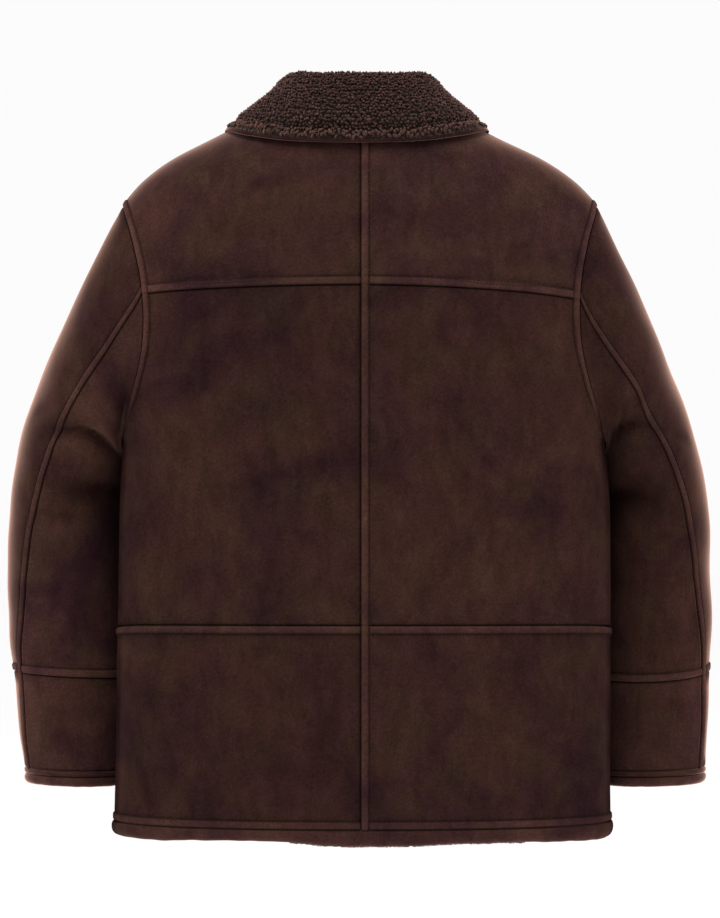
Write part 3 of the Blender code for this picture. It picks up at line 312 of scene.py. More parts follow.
CUFF_ROLL = [
    Roll(0.0, -2.2), Roll(0.4, -0.5), Roll(1.0, 0.6), Roll(2.0, 1.1), Roll(3.6, 1.2),
    Roll(5.0, 0.9), Roll(5.9, 0.0), Roll(6.5, -1.2), Roll(7.1, -0.1), Roll(8.0, 1.2),
    Roll(9.4, 1.9), Roll(11.4, 2.0), Roll(13.4, 1.6), Roll(15.2, 0.5), Roll(16.6, -1.2),
    Roll(17.3, -3.2), Roll(17.2, -5.2), Roll(16.0, -7.4), Roll(13.0, -9.0),
    Roll(9.0, -9.4), Roll(4.6, -9.0), Roll(0.3, -7.6),
]

# Half outline of a button: shank, back, rim and sunk middle
Spot = namedtuple("Spot", "radius height")
BUTTON_PROFILE = [
    Spot(0.0, 0.4), Spot(3.0, 0.4), Spot(3.4, 1.2), Spot(3.6, 2.2), Spot(9.0, 2.3),
    Spot(12.4, 2.7), Spot(13.7, 3.5), Spot(14.0, 4.3), Spot(13.7, 5.2), Spot(12.8, 5.9),
    Spot(11.8, 6.0), Spot(10.9, 5.7), Spot(10.1, 5.0), Spot(8.6, 4.5), Spot(5.0, 4.3),
    Spot(0.0, 4.3),
]

# Distances from a seam at which the mesh has a line
BAND_STOPS = (0.15, 0.5, 1.0, 1.7, 2.8, 4.2, 5.6, 6.6, 7.4, 8.0, 8.6, 9.2, 10.0, 11.6, 14.6)
PLAIN_STOPS = (0.15, 0.5, 1.1, 2.0, 3.4, 5.6)
STITCH_STOP = BAND_STOPS.index(STITCH_LINE)
EDGES = ("left", "right", "top", "bottom")

# Each skin takes the dye a little differently
TONES = {
    "yoke_left": 0.12, "yoke_right": 0.28, "back_left": -0.02, "back_right": 0.08,
    "back_skirt_left": -0.06, "back_skirt_right": 0.04, "sleeve_under_left": 0.34,
    "sleeve_outer_left": -0.12, "sleeve_outer_right": -0.04, "cuff_outer_left": 0.34,
    "cuff_under_left": 0.34, "cuff_outer_right": 0.30, "cuff_under_right": 0.30,
}


# ------------------------------------------------------------------ small helpers
def read_table(rows, column, at):
    """Smooth curve through one column of a table, against its first column."""
    keys = np.array([float(row[0]) for row in rows])
    values = np.array([float(getattr(row, column)) for row in rows])
    at = np.asarray(at, float)
    low = np.maximum(np.arange(len(keys)) - 1, 0)
    high = np.minimum(np.arange(len(keys)) + 1, len(keys) - 1)
    slopes = (values[high] - values[low]) / (keys[high] - keys[low])
    i = np.clip(np.searchsorted(keys, at, side="right") - 1, 0, len(keys) - 2)
    span = keys[i + 1] - keys[i]
    t = (at - keys[i]) / span
    rise = values[i + 1] - values[i]
    start = slopes[i] * span
    end = slopes[i + 1] * span
    inside = values[i] + t * start + t ** 2 * (3 * rise - 2 * start - end) \
        + t ** 3 * (start + end - 2 * rise)
    first = (values[1] - values[0]) / (keys[1] - keys[0])
    last = (values[-1] - values[-2]) / (keys[-1] - keys[-2])
    below = values[0] + (at - keys[0]) * first
    above = values[-1] + (at - keys[-1]) * last
    return np.where(at <= keys[0], below, np.where(at >= keys[-1], above, inside))


def ease(t):
    """Smooth step from 0 to 1."""
    t = np.clip(t, 0.0, 1.0)
    return t * t * (3 - 2 * t)


def hump(distance, width):
    """Bell of height 1."""
    return np.exp(-(distance / width) ** 2)


def unit(vectors):
    """Vectors of length 1."""
    return vectors / np.maximum(np.linalg.norm(vectors, axis=-1, keepdims=True), 1e-9)


def dot(first, second):
    return np.sum(first * second, axis=-1)


def side_name(side):
    return "right" if side > 0 else "left"


def wander(points, size, seed):
    """Gentle unevenness between -1 and 1, with waves about twice the given size."""
    ways = np.random.default_rng(seed)
    total = 0.0
    for _ in range(7):
        way = unit(ways.normal(size=3)) * np.pi / (size * ways.uniform(0.7, 1.5))
        total = total + np.sin(points @ way + ways.uniform(0, 6.28))
    return total / 4.0


# ------------------------------------------------------------------ the torso's surface
def fullness(drop):
    return NECK_FULLNESS + (FULLNESS - NECK_FULLNESS) * ease((np.asarray(drop) + 10) / 75)


def torso_point(angle, drop):
    """Point of the outside: angle 0 at the centre back, 90 at the wearer's right."""
    angle, drop = np.broadcast_arrays(np.asarray(angle, float), np.asarray(drop, float))
    across = np.sin(np.radians(angle))
    back = np.cos(np.radians(angle))
    power = fullness(drop)
    reach = (np.abs(across) ** power + np.abs(back) ** power) ** (-1 / power)
    behind = read_table(TORSO, "back_depth", drop)
    ahead = read_table(TORSO, "front_depth", drop)
    x = read_table(TORSO, "mid_x", drop) + read_table(TORSO, "half_width", drop) * reach * across
    y = -np.where(back >= 0, behind, ahead) * reach * back
    return np.stack((x, y, -drop), axis=-1)


def torso_normal(angle, drop):
    round_it = torso_point(angle + 0.7, drop) - torso_point(angle - 0.7, drop)
    upward = torso_point(angle, drop - 1.5) - torso_point(angle, drop + 1.5)
    return unit(np.cross(round_it, upward))


def body_wave(angle, drop):
    """How far the soft waves press the body in."""
    total = 0.0
    for wave in BODY_WAVES:
        across = (angle - wave.angle + 180) % 360 - 180
        down = drop - wave.drop - wave.slant * across
        total = total + wave.depth * hump(across, wave.half_angle) * hump(down, wave.half_drop)
    return total


def torso(angle, drop):
    point = torso_point(angle, drop)
    normal = torso_normal(angle, drop)
    calm = ease((np.asarray(drop) - 60) / 80)
    give = 0.8 * wander(point, 55.0, 3) - body_wave(angle, drop)
    return point, normal, give * calm


def angle_for_x(x, drop):
    """Angle at which the back of a ring lies x from the ring's middle."""
    share = np.minimum(np.abs(x) / read_table(TORSO, "half_width", drop), 1.0)
    power = fullness(drop)
    angle = np.degrees(np.arctan2(share, (1 - share ** power) ** (1 / power)))
    return angle * np.where(np.asarray(x) >= 0, 1.0, -1.0)


def centre_back(drop):
    return angle_for_x(CENTRE_SEAM_X - read_table(TORSO, "mid_x", drop), drop)


def neckline(side, turn):
    """Angle and drop of the neckline: turn 0 at the centre back, 180 at the front."""
    level = np.cos(np.radians(turn))
    across = NECK_HALF_WIDTH * np.sin(np.radians(turn))
    behind = -NECK_SIDE_RISE * np.sin(np.radians(turn)) ** 2
    ahead = -NECK_SIDE_RISE + (NECK_SIDE_RISE + NECK_FRONT_DROP) * np.abs(level) ** 1.6
    drop = np.where(level >= 0, behind, ahead)
    angle = angle_for_x(across, drop)
    angle = np.where(level >= 0, angle, 180 - angle)
    return side * angle + centre_back(0.0) * np.maximum(level, 0.0), drop


def shoulder_angle(drop):
    share = SHOULDER_SEAM_SETBACK / read_table(TORSO, "back_depth", drop)
    power = fullness(drop)
    return np.degrees(np.arctan2((1 - share ** power) ** (1 / power), share))


def armhole(side, turn):
    """Angle and drop of the armhole: 0 to 180 down the back, -180 to 0 up the front."""
    turn = np.asarray(turn, float)
    drop = ARMHOLE_MID_DROP - ARMHOLE_HALF_HEIGHT * np.cos(np.radians(turn))
    behind = read_table(ARMHOLE, "back_angle", np.abs(turn))
    ahead = 180 - read_table(ARMHOLE, "front_angle", np.abs(turn))
    return side * np.where(turn >= 0, behind, ahead), drop


def armhole_turn_at(drop):
    return float(np.degrees(np.arccos((ARMHOLE_MID_DROP - drop) / ARMHOLE_HALF_HEIGHT)))


def meeting(line, low, high):
    """Turn at which a line round the neck or the arm meets the shoulder seam."""
    turns = np.linspace(low, high, 4001)
    angle, drop = line(1, turns)
    away = np.abs(angle - shoulder_angle(drop))
    return float(turns[np.argmin(away)])


TIP_TURN = meeting(armhole, 0.0, 30.0)
NECK_TURN = meeting(neckline, 45.0, 90.0)


def shoulder_seam(side, share):
    """From the neckline to the armhole, a little in front of the ridge."""
    neck_angle, neck_drop = neckline(side, NECK_TURN)
    tip_angle, tip_drop = armhole(side, TIP_TURN)
    share = np.clip(share, 0.0, 1.0)
    drop = neck_drop + (tip_drop - neck_drop) * share ** 1.25
    blend = ease(share * 8) * ease((1 - share) * 8)
    straight = neck_angle + (tip_angle - neck_angle) * share
    return straight + (side * shoulder_angle(drop) - straight) * blend, drop


def yoke_seam(side, share):
    side_drop = YOKE_DROP_RIGHT if side > 0 else YOKE_DROP_LEFT
    end_angle, _ = armhole(side, armhole_turn_at(side_drop))
    drop = YOKE_DROP_CENTRE + (side_drop - YOKE_DROP_CENTRE) * share ** 1.8
    start = centre_back(YOKE_DROP_CENTRE)
    return start + (end_angle - start) * share, drop


def waist_seam(side, share):
    drop = WAIST_DROP_CENTRE + (WAIST_DROP_SIDE - WAIST_DROP_CENTRE) * share ** 3
    start = centre_back(WAIST_DROP_CENTRE)
    return start + (side * 90 - start) * share, drop


# ------------------------------------------------------------------ a sleeve's surface
def wrapped(turn):
    return (np.asarray(turn, float) + 180) % 360 - 180


def sleeve_ring(side, at, turn):
    """Point of an oval ring: turn 0 on its outer side, 90 at the back."""
    outer = read_table(SLEEVE, "outer_" + side_name(side), at)
    inner = read_table(SLEEVE, "inner_" + side_name(side), at)
    outer_drop = read_table(SLEEVE, "outer_drop", at)
    inner_drop = read_table(SLEEVE, "inner_drop", at)
    reach = np.cos(np.radians(turn))
    x = (outer + inner) / 2 + reach * (outer - inner) / 2
    drop = (outer_drop + inner_drop) / 2 + reach * (outer_drop - inner_drop) / 2
    depth = read_table(SLEEVE, "half_depth", at)
    lean = read_table(SLEEVE, "lean", at) * (1 - reach) / 2
    y = read_table(SLEEVE, "mid_y", at) + lean - depth * np.sin(np.radians(turn))
    return np.stack((side * x, y, -drop), axis=-1)


def sleeve_point(side, turn, at):
    turn, at = np.broadcast_arrays(np.asarray(turn, float), np.asarray(at, float))
    fade = (1 - ease(at / CAP_BLEND))[..., None]
    own = torso_point(*armhole(side, wrapped(turn)))
    return sleeve_ring(side, at, turn) + (own - sleeve_ring(side, 0 * at, turn)) * fade


def sleeve_normal(side, turn, at):
    round_it = sleeve_point(side, turn + 1.5, at) - sleeve_point(side, turn - 1.5, at)
    first = np.maximum(at - 0.04, 0.0)
    along = sleeve_point(side, turn, first + 0.08) - sleeve_point(side, turn, first)
    return unit(np.cross(round_it, along) * side)


def fold_depth(side, turn, at):
    total = 0.0
    for fold in FOLDS:
        if fold.side == side:
            across = wrapped(turn - fold.turn)
            down = at - fold.at - fold.slant * across
            reach = np.maximum(1 - (across / fold.half_turn) ** 2, 0.0)
            total = total + fold.depth * reach ** 1.5 * hump(down, fold.half_at)
    return total


def tucked(turn, at):
    """Under the arm the sleeve is squeezed out against the side of the body."""
    along = ease((np.asarray(at) - 0.3) / 0.9) * (1 - ease((np.asarray(at) - 3.2) / 2.6))
    return 4.6 * hump(wrapped(turn - 182.0), 34.0) * along


def sleeve(side):
    def surface(turn, at):
        point = sleeve_point(side, turn, at)
        normal = sleeve_normal(side, turn, at)
        give = 0.9 * wander(point, 34.0, 5 + side) * ease(np.asarray(at) / 0.6)
        return point, normal, give + tucked(turn, at) - fold_depth(side, turn, at)
    return surface


def cross_seam(side, turn):
    start = CROSS_AT_RIGHT if side > 0 else CROSS_AT_LEFT
    dip = CROSS_DIP_RIGHT if side > 0 else CROSS_DIP_LEFT
    return start + dip * np.maximum(np.sin(np.radians(turn)), 0.0)


def shared_edge(first, second, thickness):
    """Way through a wall along the mitre that two walls share."""
    middle = unit(first + second)
    share = np.maximum(dot(middle, first), 0.75)
    return middle * (-thickness / share)[..., None]


def armhole_rim(side, turn, sign):
    """Outer and inner point of the armhole's rim: sign -1 on the torso, 1 on the sleeve."""
    here = wrapped(turn)
    point = torso_point(*armhole(side, here))
    first = torso_normal(*armhole(side, here))
    through = shared_edge(first, sleeve_normal(side, here, 0.0 * here), SKIN)
    next_one = torso_point(*armhole(side, wrapped(turn + 1.0)))
    ahead = next_one - torso_point(*armhole(side, wrapped(turn - 1.0)))
    towards = unit(np.cross(through, ahead))
    facing = dot(towards, sleeve_point(side, here, 0.4 + 0.0 * here) - point)
    towards = towards * np.where(facing < 0, -1.0, 1.0)[..., None]
    shift = towards * (sign * SEAM_GAP / 2)
    return point + unit(through) * EDGE_DIP + shift, point + through + shift


# ------------------------------------------------------------------ materials
def linear(hex_colour):
    """Linear colour of an sRGB hex value."""
    parts = [int(hex_colour[k:k + 2], 16) / 255 for k in (1, 3, 5)]
    curved = [c / 12.92 if c <= 0.04045 else ((c + 0.055) / 1.055) ** 2.4 for c in parts]
    return (*curved, 1.0)


def set_sockets(tree, node, sockets):
    """Give each socket its value, its hex colour, or a link from a (node, output) pair."""
    for key, value in sockets.items():
        if isinstance(value, str):
            node.inputs[key].default_value = linear(value)
        elif isinstance(value, tuple) and isinstance(value[0], bpy.types.Node):
            tree.links.new(value[0].outputs[value[1]], node.inputs[key])
        else:
            node.inputs[key].default_value = value


def add_node(tree, kind, sockets=None, **settings):
    """Add a node with its settings, values and links."""
    node = tree.nodes.new("ShaderNode" + kind)
    for key, value in settings.items():
        setattr(node, key, value)
    set_sockets(tree, node, sockets or {})
    return node


def new_material(name, colour, roughness):
    made = bpy.data.materials.new(name)
    made.use_nodes = True
    shader = made.node_tree.nodes["Principled BSDF"]
    set_sockets(made.node_tree, shader, {"Base Color": colour, "Roughness": roughness})
    made.diffuse_color = linear(colour)
    return made, made.node_tree, shader


def cloud(where, size, detail=3.0, distortion=0.0):
    """Values of a noise whose features are about the given size."""
    scale = 1 / (size * MM)
    return {
        "Vector": where, "Scale": scale, "Detail": detail, "Roughness": 0.55,
        "Distortion": distortion,
    }


def span(source, low, high, first=0.0, last=1.0):
    """Values that spread one range of a source over another."""
    return {"Value": source, "From Min": low, "From Max": high, "To Min": first, "To Max": last}


def brushed_suede():
    """Sheepskin suede: the flesh side, buffed to a short nap that was then dyed.

    The nap lies a little differently from place to place, so the eye sees soft darker
    and lighter patches and a fine grain. A pale sheen where it is seen edge on is painted
    into the base colour, and so is shade beside the arms and in the sleeves' folds.
    """
    made, tree, shader = new_material("brushed_suede", "#2f1c18", 0.95)
    where = (add_node(tree, "TexCoord"), "Object")
    upright = add_node(tree, "Mapping", {"Vector": where, "Scale": (1.0, 1.0, 0.45)})
    patches = add_node(tree, "TexNoise", cloud(where, DYE_PATCH, 5.0, 0.8))
    strokes = add_node(tree, "TexNoise", cloud((upright, "Vector"), BRUSH_STROKE, 5.0, 0.5))
    tone = add_node(tree, "TexNoise", cloud(where, DYE_TONE, 3.0, 0.4))
    grain = add_node(tree, "TexNoise", cloud(where, SUEDE_GRAIN))
    dyed = add_node(tree, "MapRange", span((patches, 0), 0.34, 0.64))
    base = add_node(tree, "Mix", {0: (dyed, 0), 6: "#1c0f11", 7: "#291915"}, data_type="RGBA")
    olive = add_node(tree, "MapRange", span((tone, 0), 0.45, 0.68, 0.0, 0.45))
    warm = add_node(tree, "Mix", {0: (olive, 0), 6: (base, 2), 7: "#261b13"}, data_type="RGBA")
    brushed = add_node(tree, "MapRange", span((strokes, 0), 0.3, 0.7, 0.80, 1.20))
    speckled = add_node(tree, "MapRange", span((grain, 0), 0.3, 0.7, 0.74, 1.26))
    both = add_node(tree, "Math", {0: (brushed, 0), 1: (speckled, 0)}, operation="MULTIPLY")
    # The tone of the bands, seams and skins, and painted shade beside the arms and in the sleeves'
    # folds, darken or lighten the colour here.
    tone_and_shade = add_node(tree, "Attribute", attribute_name="tone_and_shade")
    shaded = add_node(tree, "MapRange", span((tone_and_shade, "Fac"), -1.0, 1.0, 0.24, 1.76))
    shade = add_node(tree, "Math", {0: (both, 0), 1: (shaded, 0)}, operation="MULTIPLY")
    lit = add_node(tree, "VectorMath", {0: (warm, 2), "Scale": (shade, 0)}, operation="SCALE")
    # Painted sheen: the colour turns pale, towards #a88577, where the suede is seen edge on, as far
    # as the sheen attribute allows.
    turned = add_node(tree, "LayerWeight", {"Blend": 0.5})
    edge_on = add_node(tree, "Math", {0: (turned, "Facing"), 1: 5.0}, operation="POWER")
    edge_sheen = add_node(tree, "Attribute", attribute_name="edge_sheen")
    painted_sheen_share = add_node(tree, "Math", {0: (edge_on, 0), 1: (edge_sheen, "Fac")}, operation="MULTIPLY")
    with_painted_sheen = add_node(tree, "Mix", {0: (painted_sheen_share, 0), 6: (lit, 0), 7: "#a88577"}, data_type="RGBA")
    fuzz = add_node(tree, "TexNoise", cloud(where, SUEDE_FUZZ))
    dimples = add_node(tree, "TexNoise", cloud(where, SUEDE_DIMPLE, 5.0))
    crimp = add_node(tree, "TexNoise", cloud(where, SEWN_CRIMP, 2.0))
    pucker = add_node(tree, "Attribute", attribute_name="pucker")
    drawn = add_node(tree, "Math", {0: (crimp, 0), 1: (pucker, "Fac")}, operation="MULTIPLY")
    height = add_node(
        tree, "Math", {0: (dimples, 0), 1: 2.2, 2: (fuzz, 0)}, operation="MULTIPLY_ADD"
    )
    whole = add_node(
        tree, "Math", {0: (drawn, 0), 1: 5.0, 2: (height, 0)}, operation="MULTIPLY_ADD"
    )
    bump = add_node(tree, "Bump", {"Strength": 0.6, "Distance": 0.00035, "Height": (whole, 0)})
    sheen = add_node(tree, "Math", {0: (edge_sheen, "Fac"), 1: 0.09}, operation="MULTIPLY")
    set_sockets(tree, shader, {
        "Base Color": (with_painted_sheen, 2), "Normal": (bump, 0), "Specular IOR Level": 0.0,
        "Sheen Weight": (sheen, 0), "Sheen Roughness": 0.3, "Sheen Tint": "#cfa598",
    })
    return made


# Wool fibre scatters light softly: hardly any shine, and a faint pale bloom
WOOL_SHINE = {
    "Specular IOR Level": 0.15, "Sheen Weight": 0.10, "Sheen Roughness": 0.5,
    "Sheen Tint": "#c89c8c",
}


def curled_wool():
    """Sheared lamb's wool, dyed brown: matt, each curl its own tone, with a painted highlight on
    its top and painted shade beneath it and at its ends.
    """
    made, tree, shader = new_material("curled_wool", "#463530", 1.0)
    where = (add_node(tree, "TexCoord"), "Object")
    tuft_tone_and_light = add_node(tree, "Attribute", attribute_name="tuft_tone_and_light")
    fleck = add_node(tree, "TexNoise", cloud(where, WOOL_FLECK, 2.0))
    patch = add_node(tree, "TexNoise", cloud(where, WOOL_PATCH))
    # Painted light: the attribute runs from painted shade, #080403, at a curl's foot and ends to
    # its pale lit top, #452c26, on top of each curl's own tone.
    colour = add_node(
        tree, "Mix", {0: (tuft_tone_and_light, "Fac"), 6: "#080403", 7: "#452c26"}, data_type="RGBA"
    )
    flecks = add_node(tree, "MapRange", span((fleck, 0), 0.3, 0.7, 0.82, 1.18))
    patches = add_node(tree, "MapRange", span((patch, 0), 0.3, 0.7, 0.88, 1.1))
    both = add_node(tree, "Math", {0: (flecks, 0), 1: (patches, 0)}, operation="MULTIPLY")
    lit = add_node(tree, "VectorMath", {0: (colour, 2), "Scale": (both, 0)}, operation="SCALE")
    bump = add_node(tree, "Bump", {"Strength": 0.7, "Distance": 0.0006, "Height": (fleck, 0)})
    set_sockets(tree, shader, {"Base Color": (lit, 0), "Normal": (bump, 0), **WOOL_SHINE})
    return made


def matted_wool():
    """The uncombed wool inside the coat: a mat of curls, with painted shade between their crowns.
    """
    made, tree, shader = new_material("matted_wool", "#40302b", 1.0)
    where = (add_node(tree, "TexCoord"), "Object")
    bend = add_node(tree, "TexNoise", cloud(where, MAT_BEND, 2.0))
    shifted = add_node(
        tree, "VectorMath", {0: (bend, "Color"), 1: (0.004, 0.004, 0.004), 2: where},
        operation="MULTIPLY_ADD",
    )
    curls = add_node(
        tree, "TexVoronoi",
        {"Vector": (shifted, 0), "Scale": 1 / (MAT_CURL * MM), "Randomness": 1.0},
    )
    crown = add_node(tree, "MapRange", span((curls, "Distance"), 0.05, 0.62, 1.0, 0.0))
    # Painted shade between the curls' crowns, paler on the crowns.
    colour = add_node(tree, "Mix", {0: (crown, 0), 6: "#0e0706", 7: "#301f1a"}, data_type="RGBA")
    bump = add_node(tree, "Bump", {"Strength": 1.0, "Distance": 0.0022, "Height": (crown, 0)})
    set_sockets(tree, shader, {"Base Color": (colour, 2), "Normal": (bump, 0), **WOOL_SHINE})
    return made


def waxed_thread():
    """Bonded sewing thread, waxed: darker than the suede, with a slight shine."""
    made, tree, shader = new_material("waxed_thread", "#140b09", 0.7)
    where = (add_node(tree, "TexCoord"), "Object")
    twist = add_node(tree, "TexNoise", cloud(where, THREAD_TWIST, 1.0))
    strand = add_node(tree, "MapRange", span((twist, 0), 0.35, 0.65))
    colour = add_node(tree, "Mix", {0: (strand, 0), 6: "#080403", 7: "#130a08"}, data_type="RGBA")
    set_sockets(tree, shader, {"Base Color": (colour, 2), "Specular IOR Level": 0.08})
    return made


def polished_horn():
    """Pressed horn button: dark, streaked, polished to a satin shine."""
    made, tree, shader = new_material("polished_horn", "#241712", 0.32)
    where = (add_node(tree, "TexCoord"), "Object")
    upright = add_node(tree, "Mapping", {"Vector": where, "Scale": (1.0, 1.0, 0.3)})
    streaks = add_node(tree, "TexNoise", cloud((upright, "Vector"), HORN_STREAK, 4.0, 1.2))
    layer = add_node(tree, "MapRange", span((streaks, 0), 0.38, 0.66))
    colour = add_node(tree, "Mix", {0: (layer, 0), 6: "#150d0a", 7: "#4a3022"}, data_type="RGBA")
    set_sockets(tree, shader, {
        "Base Color": (colour, 2), "Coat Weight": 0.25, "Coat Roughness": 0.2,
    })
    return made


SUEDE = brushed_suede()
WOOL = curled_wool()
MAT = matted_wool()
THREAD = waxed_thread()
HORN = polished_horn()


# ------------------------------------------------------------------ meshes
def make_piece(name, points, faces, looks, which=None, marks=None, nodes=()):
    """A mesh piece from arrays: points in mm, faces of equal size, one look for each."""
    mesh = bpy.data.meshes.new(name)
    faces = np.asarray(faces, np.int32)
    count, corners = faces.shape
    mesh.vertices.add(len(points))
    mesh.vertices.foreach_set("co", (np.asarray(points) * MM).astype(np.float32).ravel())
    mesh.loops.add(count * corners)
    mesh.loops.foreach_set("vertex_index", faces.ravel())
    mesh.polygons.add(count)
    mesh.polygons.foreach_set("loop_start", np.arange(count, dtype=np.int32) * corners)
    mesh.polygons.foreach_set("use_smooth", np.ones(count, bool))
    for look in looks:
        mesh.materials.append(look)
    if which is not None:
        mesh.polygons.foreach_set("material_index", np.asarray(which, np.int32))
    mesh.update(calc_edges=True)
    for mark, values in (marks or {}).items():
        layer = mesh.attributes.new(mark, "FLOAT", "POINT")
        layer.data.foreach_set("value", np.asarray(values, np.float32))
    made = bpy.data.objects.new(name, mesh)
    bpy.context.scene.collection.objects.link(made)
    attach(made, "root")
    if nodes:
        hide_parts(*nodes)
    return made


def flat_grid(columns, rows, start=0, flip=False):
    """Faces of a grid of points numbered column by column."""
    i, j = np.meshgrid(np.arange(columns - 1), np.arange(rows - 1), indexing="ij")
    first = (i * rows + j).ravel() + start
    square = np.stack((first, first + rows, first + rows + 1, first + 1), axis=1)
    return square[:, ::-1] if flip else square


def rim_faces(columns, rows):
    """Faces that close a wall between two equal grids."""
    back = columns * rows
    line = [i * rows for i in range(columns)]
    line += [(columns - 1) * rows + j for j in range(1, rows)]
    line += [i * rows + rows - 1 for i in range(columns - 2, -1, -1)]
    line += list(range(rows - 2, 0, -1))
    line = np.array(line)
    ahead = np.roll(line, -1)
    return np.stack((ahead, line, line + back, ahead + back), axis=1)


# ------------------------------------------------------------------ panels of skin
def coons(left, right, top, bottom):
    """Place inside four edge curves, each a function of a share from 0 to 1."""
    corners = [top(0.0), top(1.0), bottom(0.0), bottom(1.0)]

    def place(u, v):
        sides = (left(v), right(v), top(u), bottom(u))
        result = []
        for k in (0, 1):
            across = (1 - u) * sides[0][k] + u * sides[1][k]
            down = (1 - v) * sides[2][k] + v * sides[3][k]
            flat = (1 - v) * ((1 - u) * corners[0][k] + u * corners[1][k])
            flat = flat + v * ((1 - u) * corners[2][k] + u * corners[3][k])
            result.append(across + down - flat)
        return result
    return place


def walked(points, axis):
    """Distance walked along one way of a grid of points."""
    steps = np.linalg.norm(np.diff(points, axis=axis), axis=-1)
    walk = np.cumsum(steps, axis=axis)
    zero = np.zeros_like(np.take(walk, [0], axis=axis))
    return np.concatenate((zero, walk), axis=axis)


def spread(walk, start, end, count):
    """Shares of an evenly sampled line: near its start, evenly between, near its end."""
    length = walk[-1]
    middle = np.linspace(start[-1], length - end[-1], count + 2)[1:-1]
    wanted = np.concatenate((start, middle, length - np.array(end[::-1])))
    return np.interp(wanted, walk, np.linspace(0, 1, len(walk)))


def band_relief(away):
    """Height of a lapped band: it rises from the seam and dips at its stitches."""
    rise = ease(away / 1.7) * (1 - ease((away - BAND_EDGE) / 2.0))
    crown = 0.25 * hump(away - 4.0, 2.4)
    return (BAND_HEIGHT + crown) * rise - EDGE_DIP * hump(away, 0.7) \
        - 0.6 * hump(away - STITCH_LINE, 0.8)


def seam_relief(away):
    """Height beside a plain seam: drawn down at the sewing, a little full behind it."""
    return -EDGE_DIP * hump(away, 0.9) + 0.3 * ease(away / 2.5) * (1 - ease((away - 3) / 9))


def band_mark(away):
    """How rubbed the nap is: bright on the band, dark in the seam and at the stitches."""
    shown = ease((away - 0.6) / 1.0) * (1 - ease((away - 6.4) / 1.6))
    return (0.86 - 0.05 * away) * shown \
        - 0.7 * hump(away, 0.9) - 0.26 * hump(away - STITCH_LINE, 0.9) \
        - 0.10 * hump(away - 11.0, 2.5)


def seam_mark(away):
    """The nap is flat and dark in a plain seam."""
    return -0.7 * hump(away, 1.1) - 0.15 * hump(away, 5.0)


def body_painted_shade(angle, drop):
    """Painted shade on the body where the arm hangs beside it: the skin is drawn darker there."""
    return 1.2 * hump(np.abs(angle) - 88.0, 32.0) * ease((drop - 260.0) / 90.0)


def sleeve_painted_shade(turn, at):
    """Painted shade on the sleeve where it lies against the body, most of all inside the elbow."""
    along = ease((np.asarray(at) - 0.3) / 2.0) * (1 - 0.7 * ease((np.asarray(at) - 8.5) / 4.0))
    return hump(wrapped(turn - 178.0), 38.0 + 26.0 * hump(np.asarray(at) - 6.5, 2.6)) * along


def painted_fold_shade(side):
    """Painted shade in a crease and painted highlight on a ridge, from the folds' depths and the
    table of shades.
    """
    def shadow(turn, at):
        total = 0.085 * fold_depth(side, turn, at)
        for shade in SHADES:
            if shade.side == side:
                round_it = hump(wrapped(turn - shade.turn), shade.half_turn)
                total = total + shade.depth * round_it * hump(at - shade.at, shade.half_at)
        return total
    return shadow


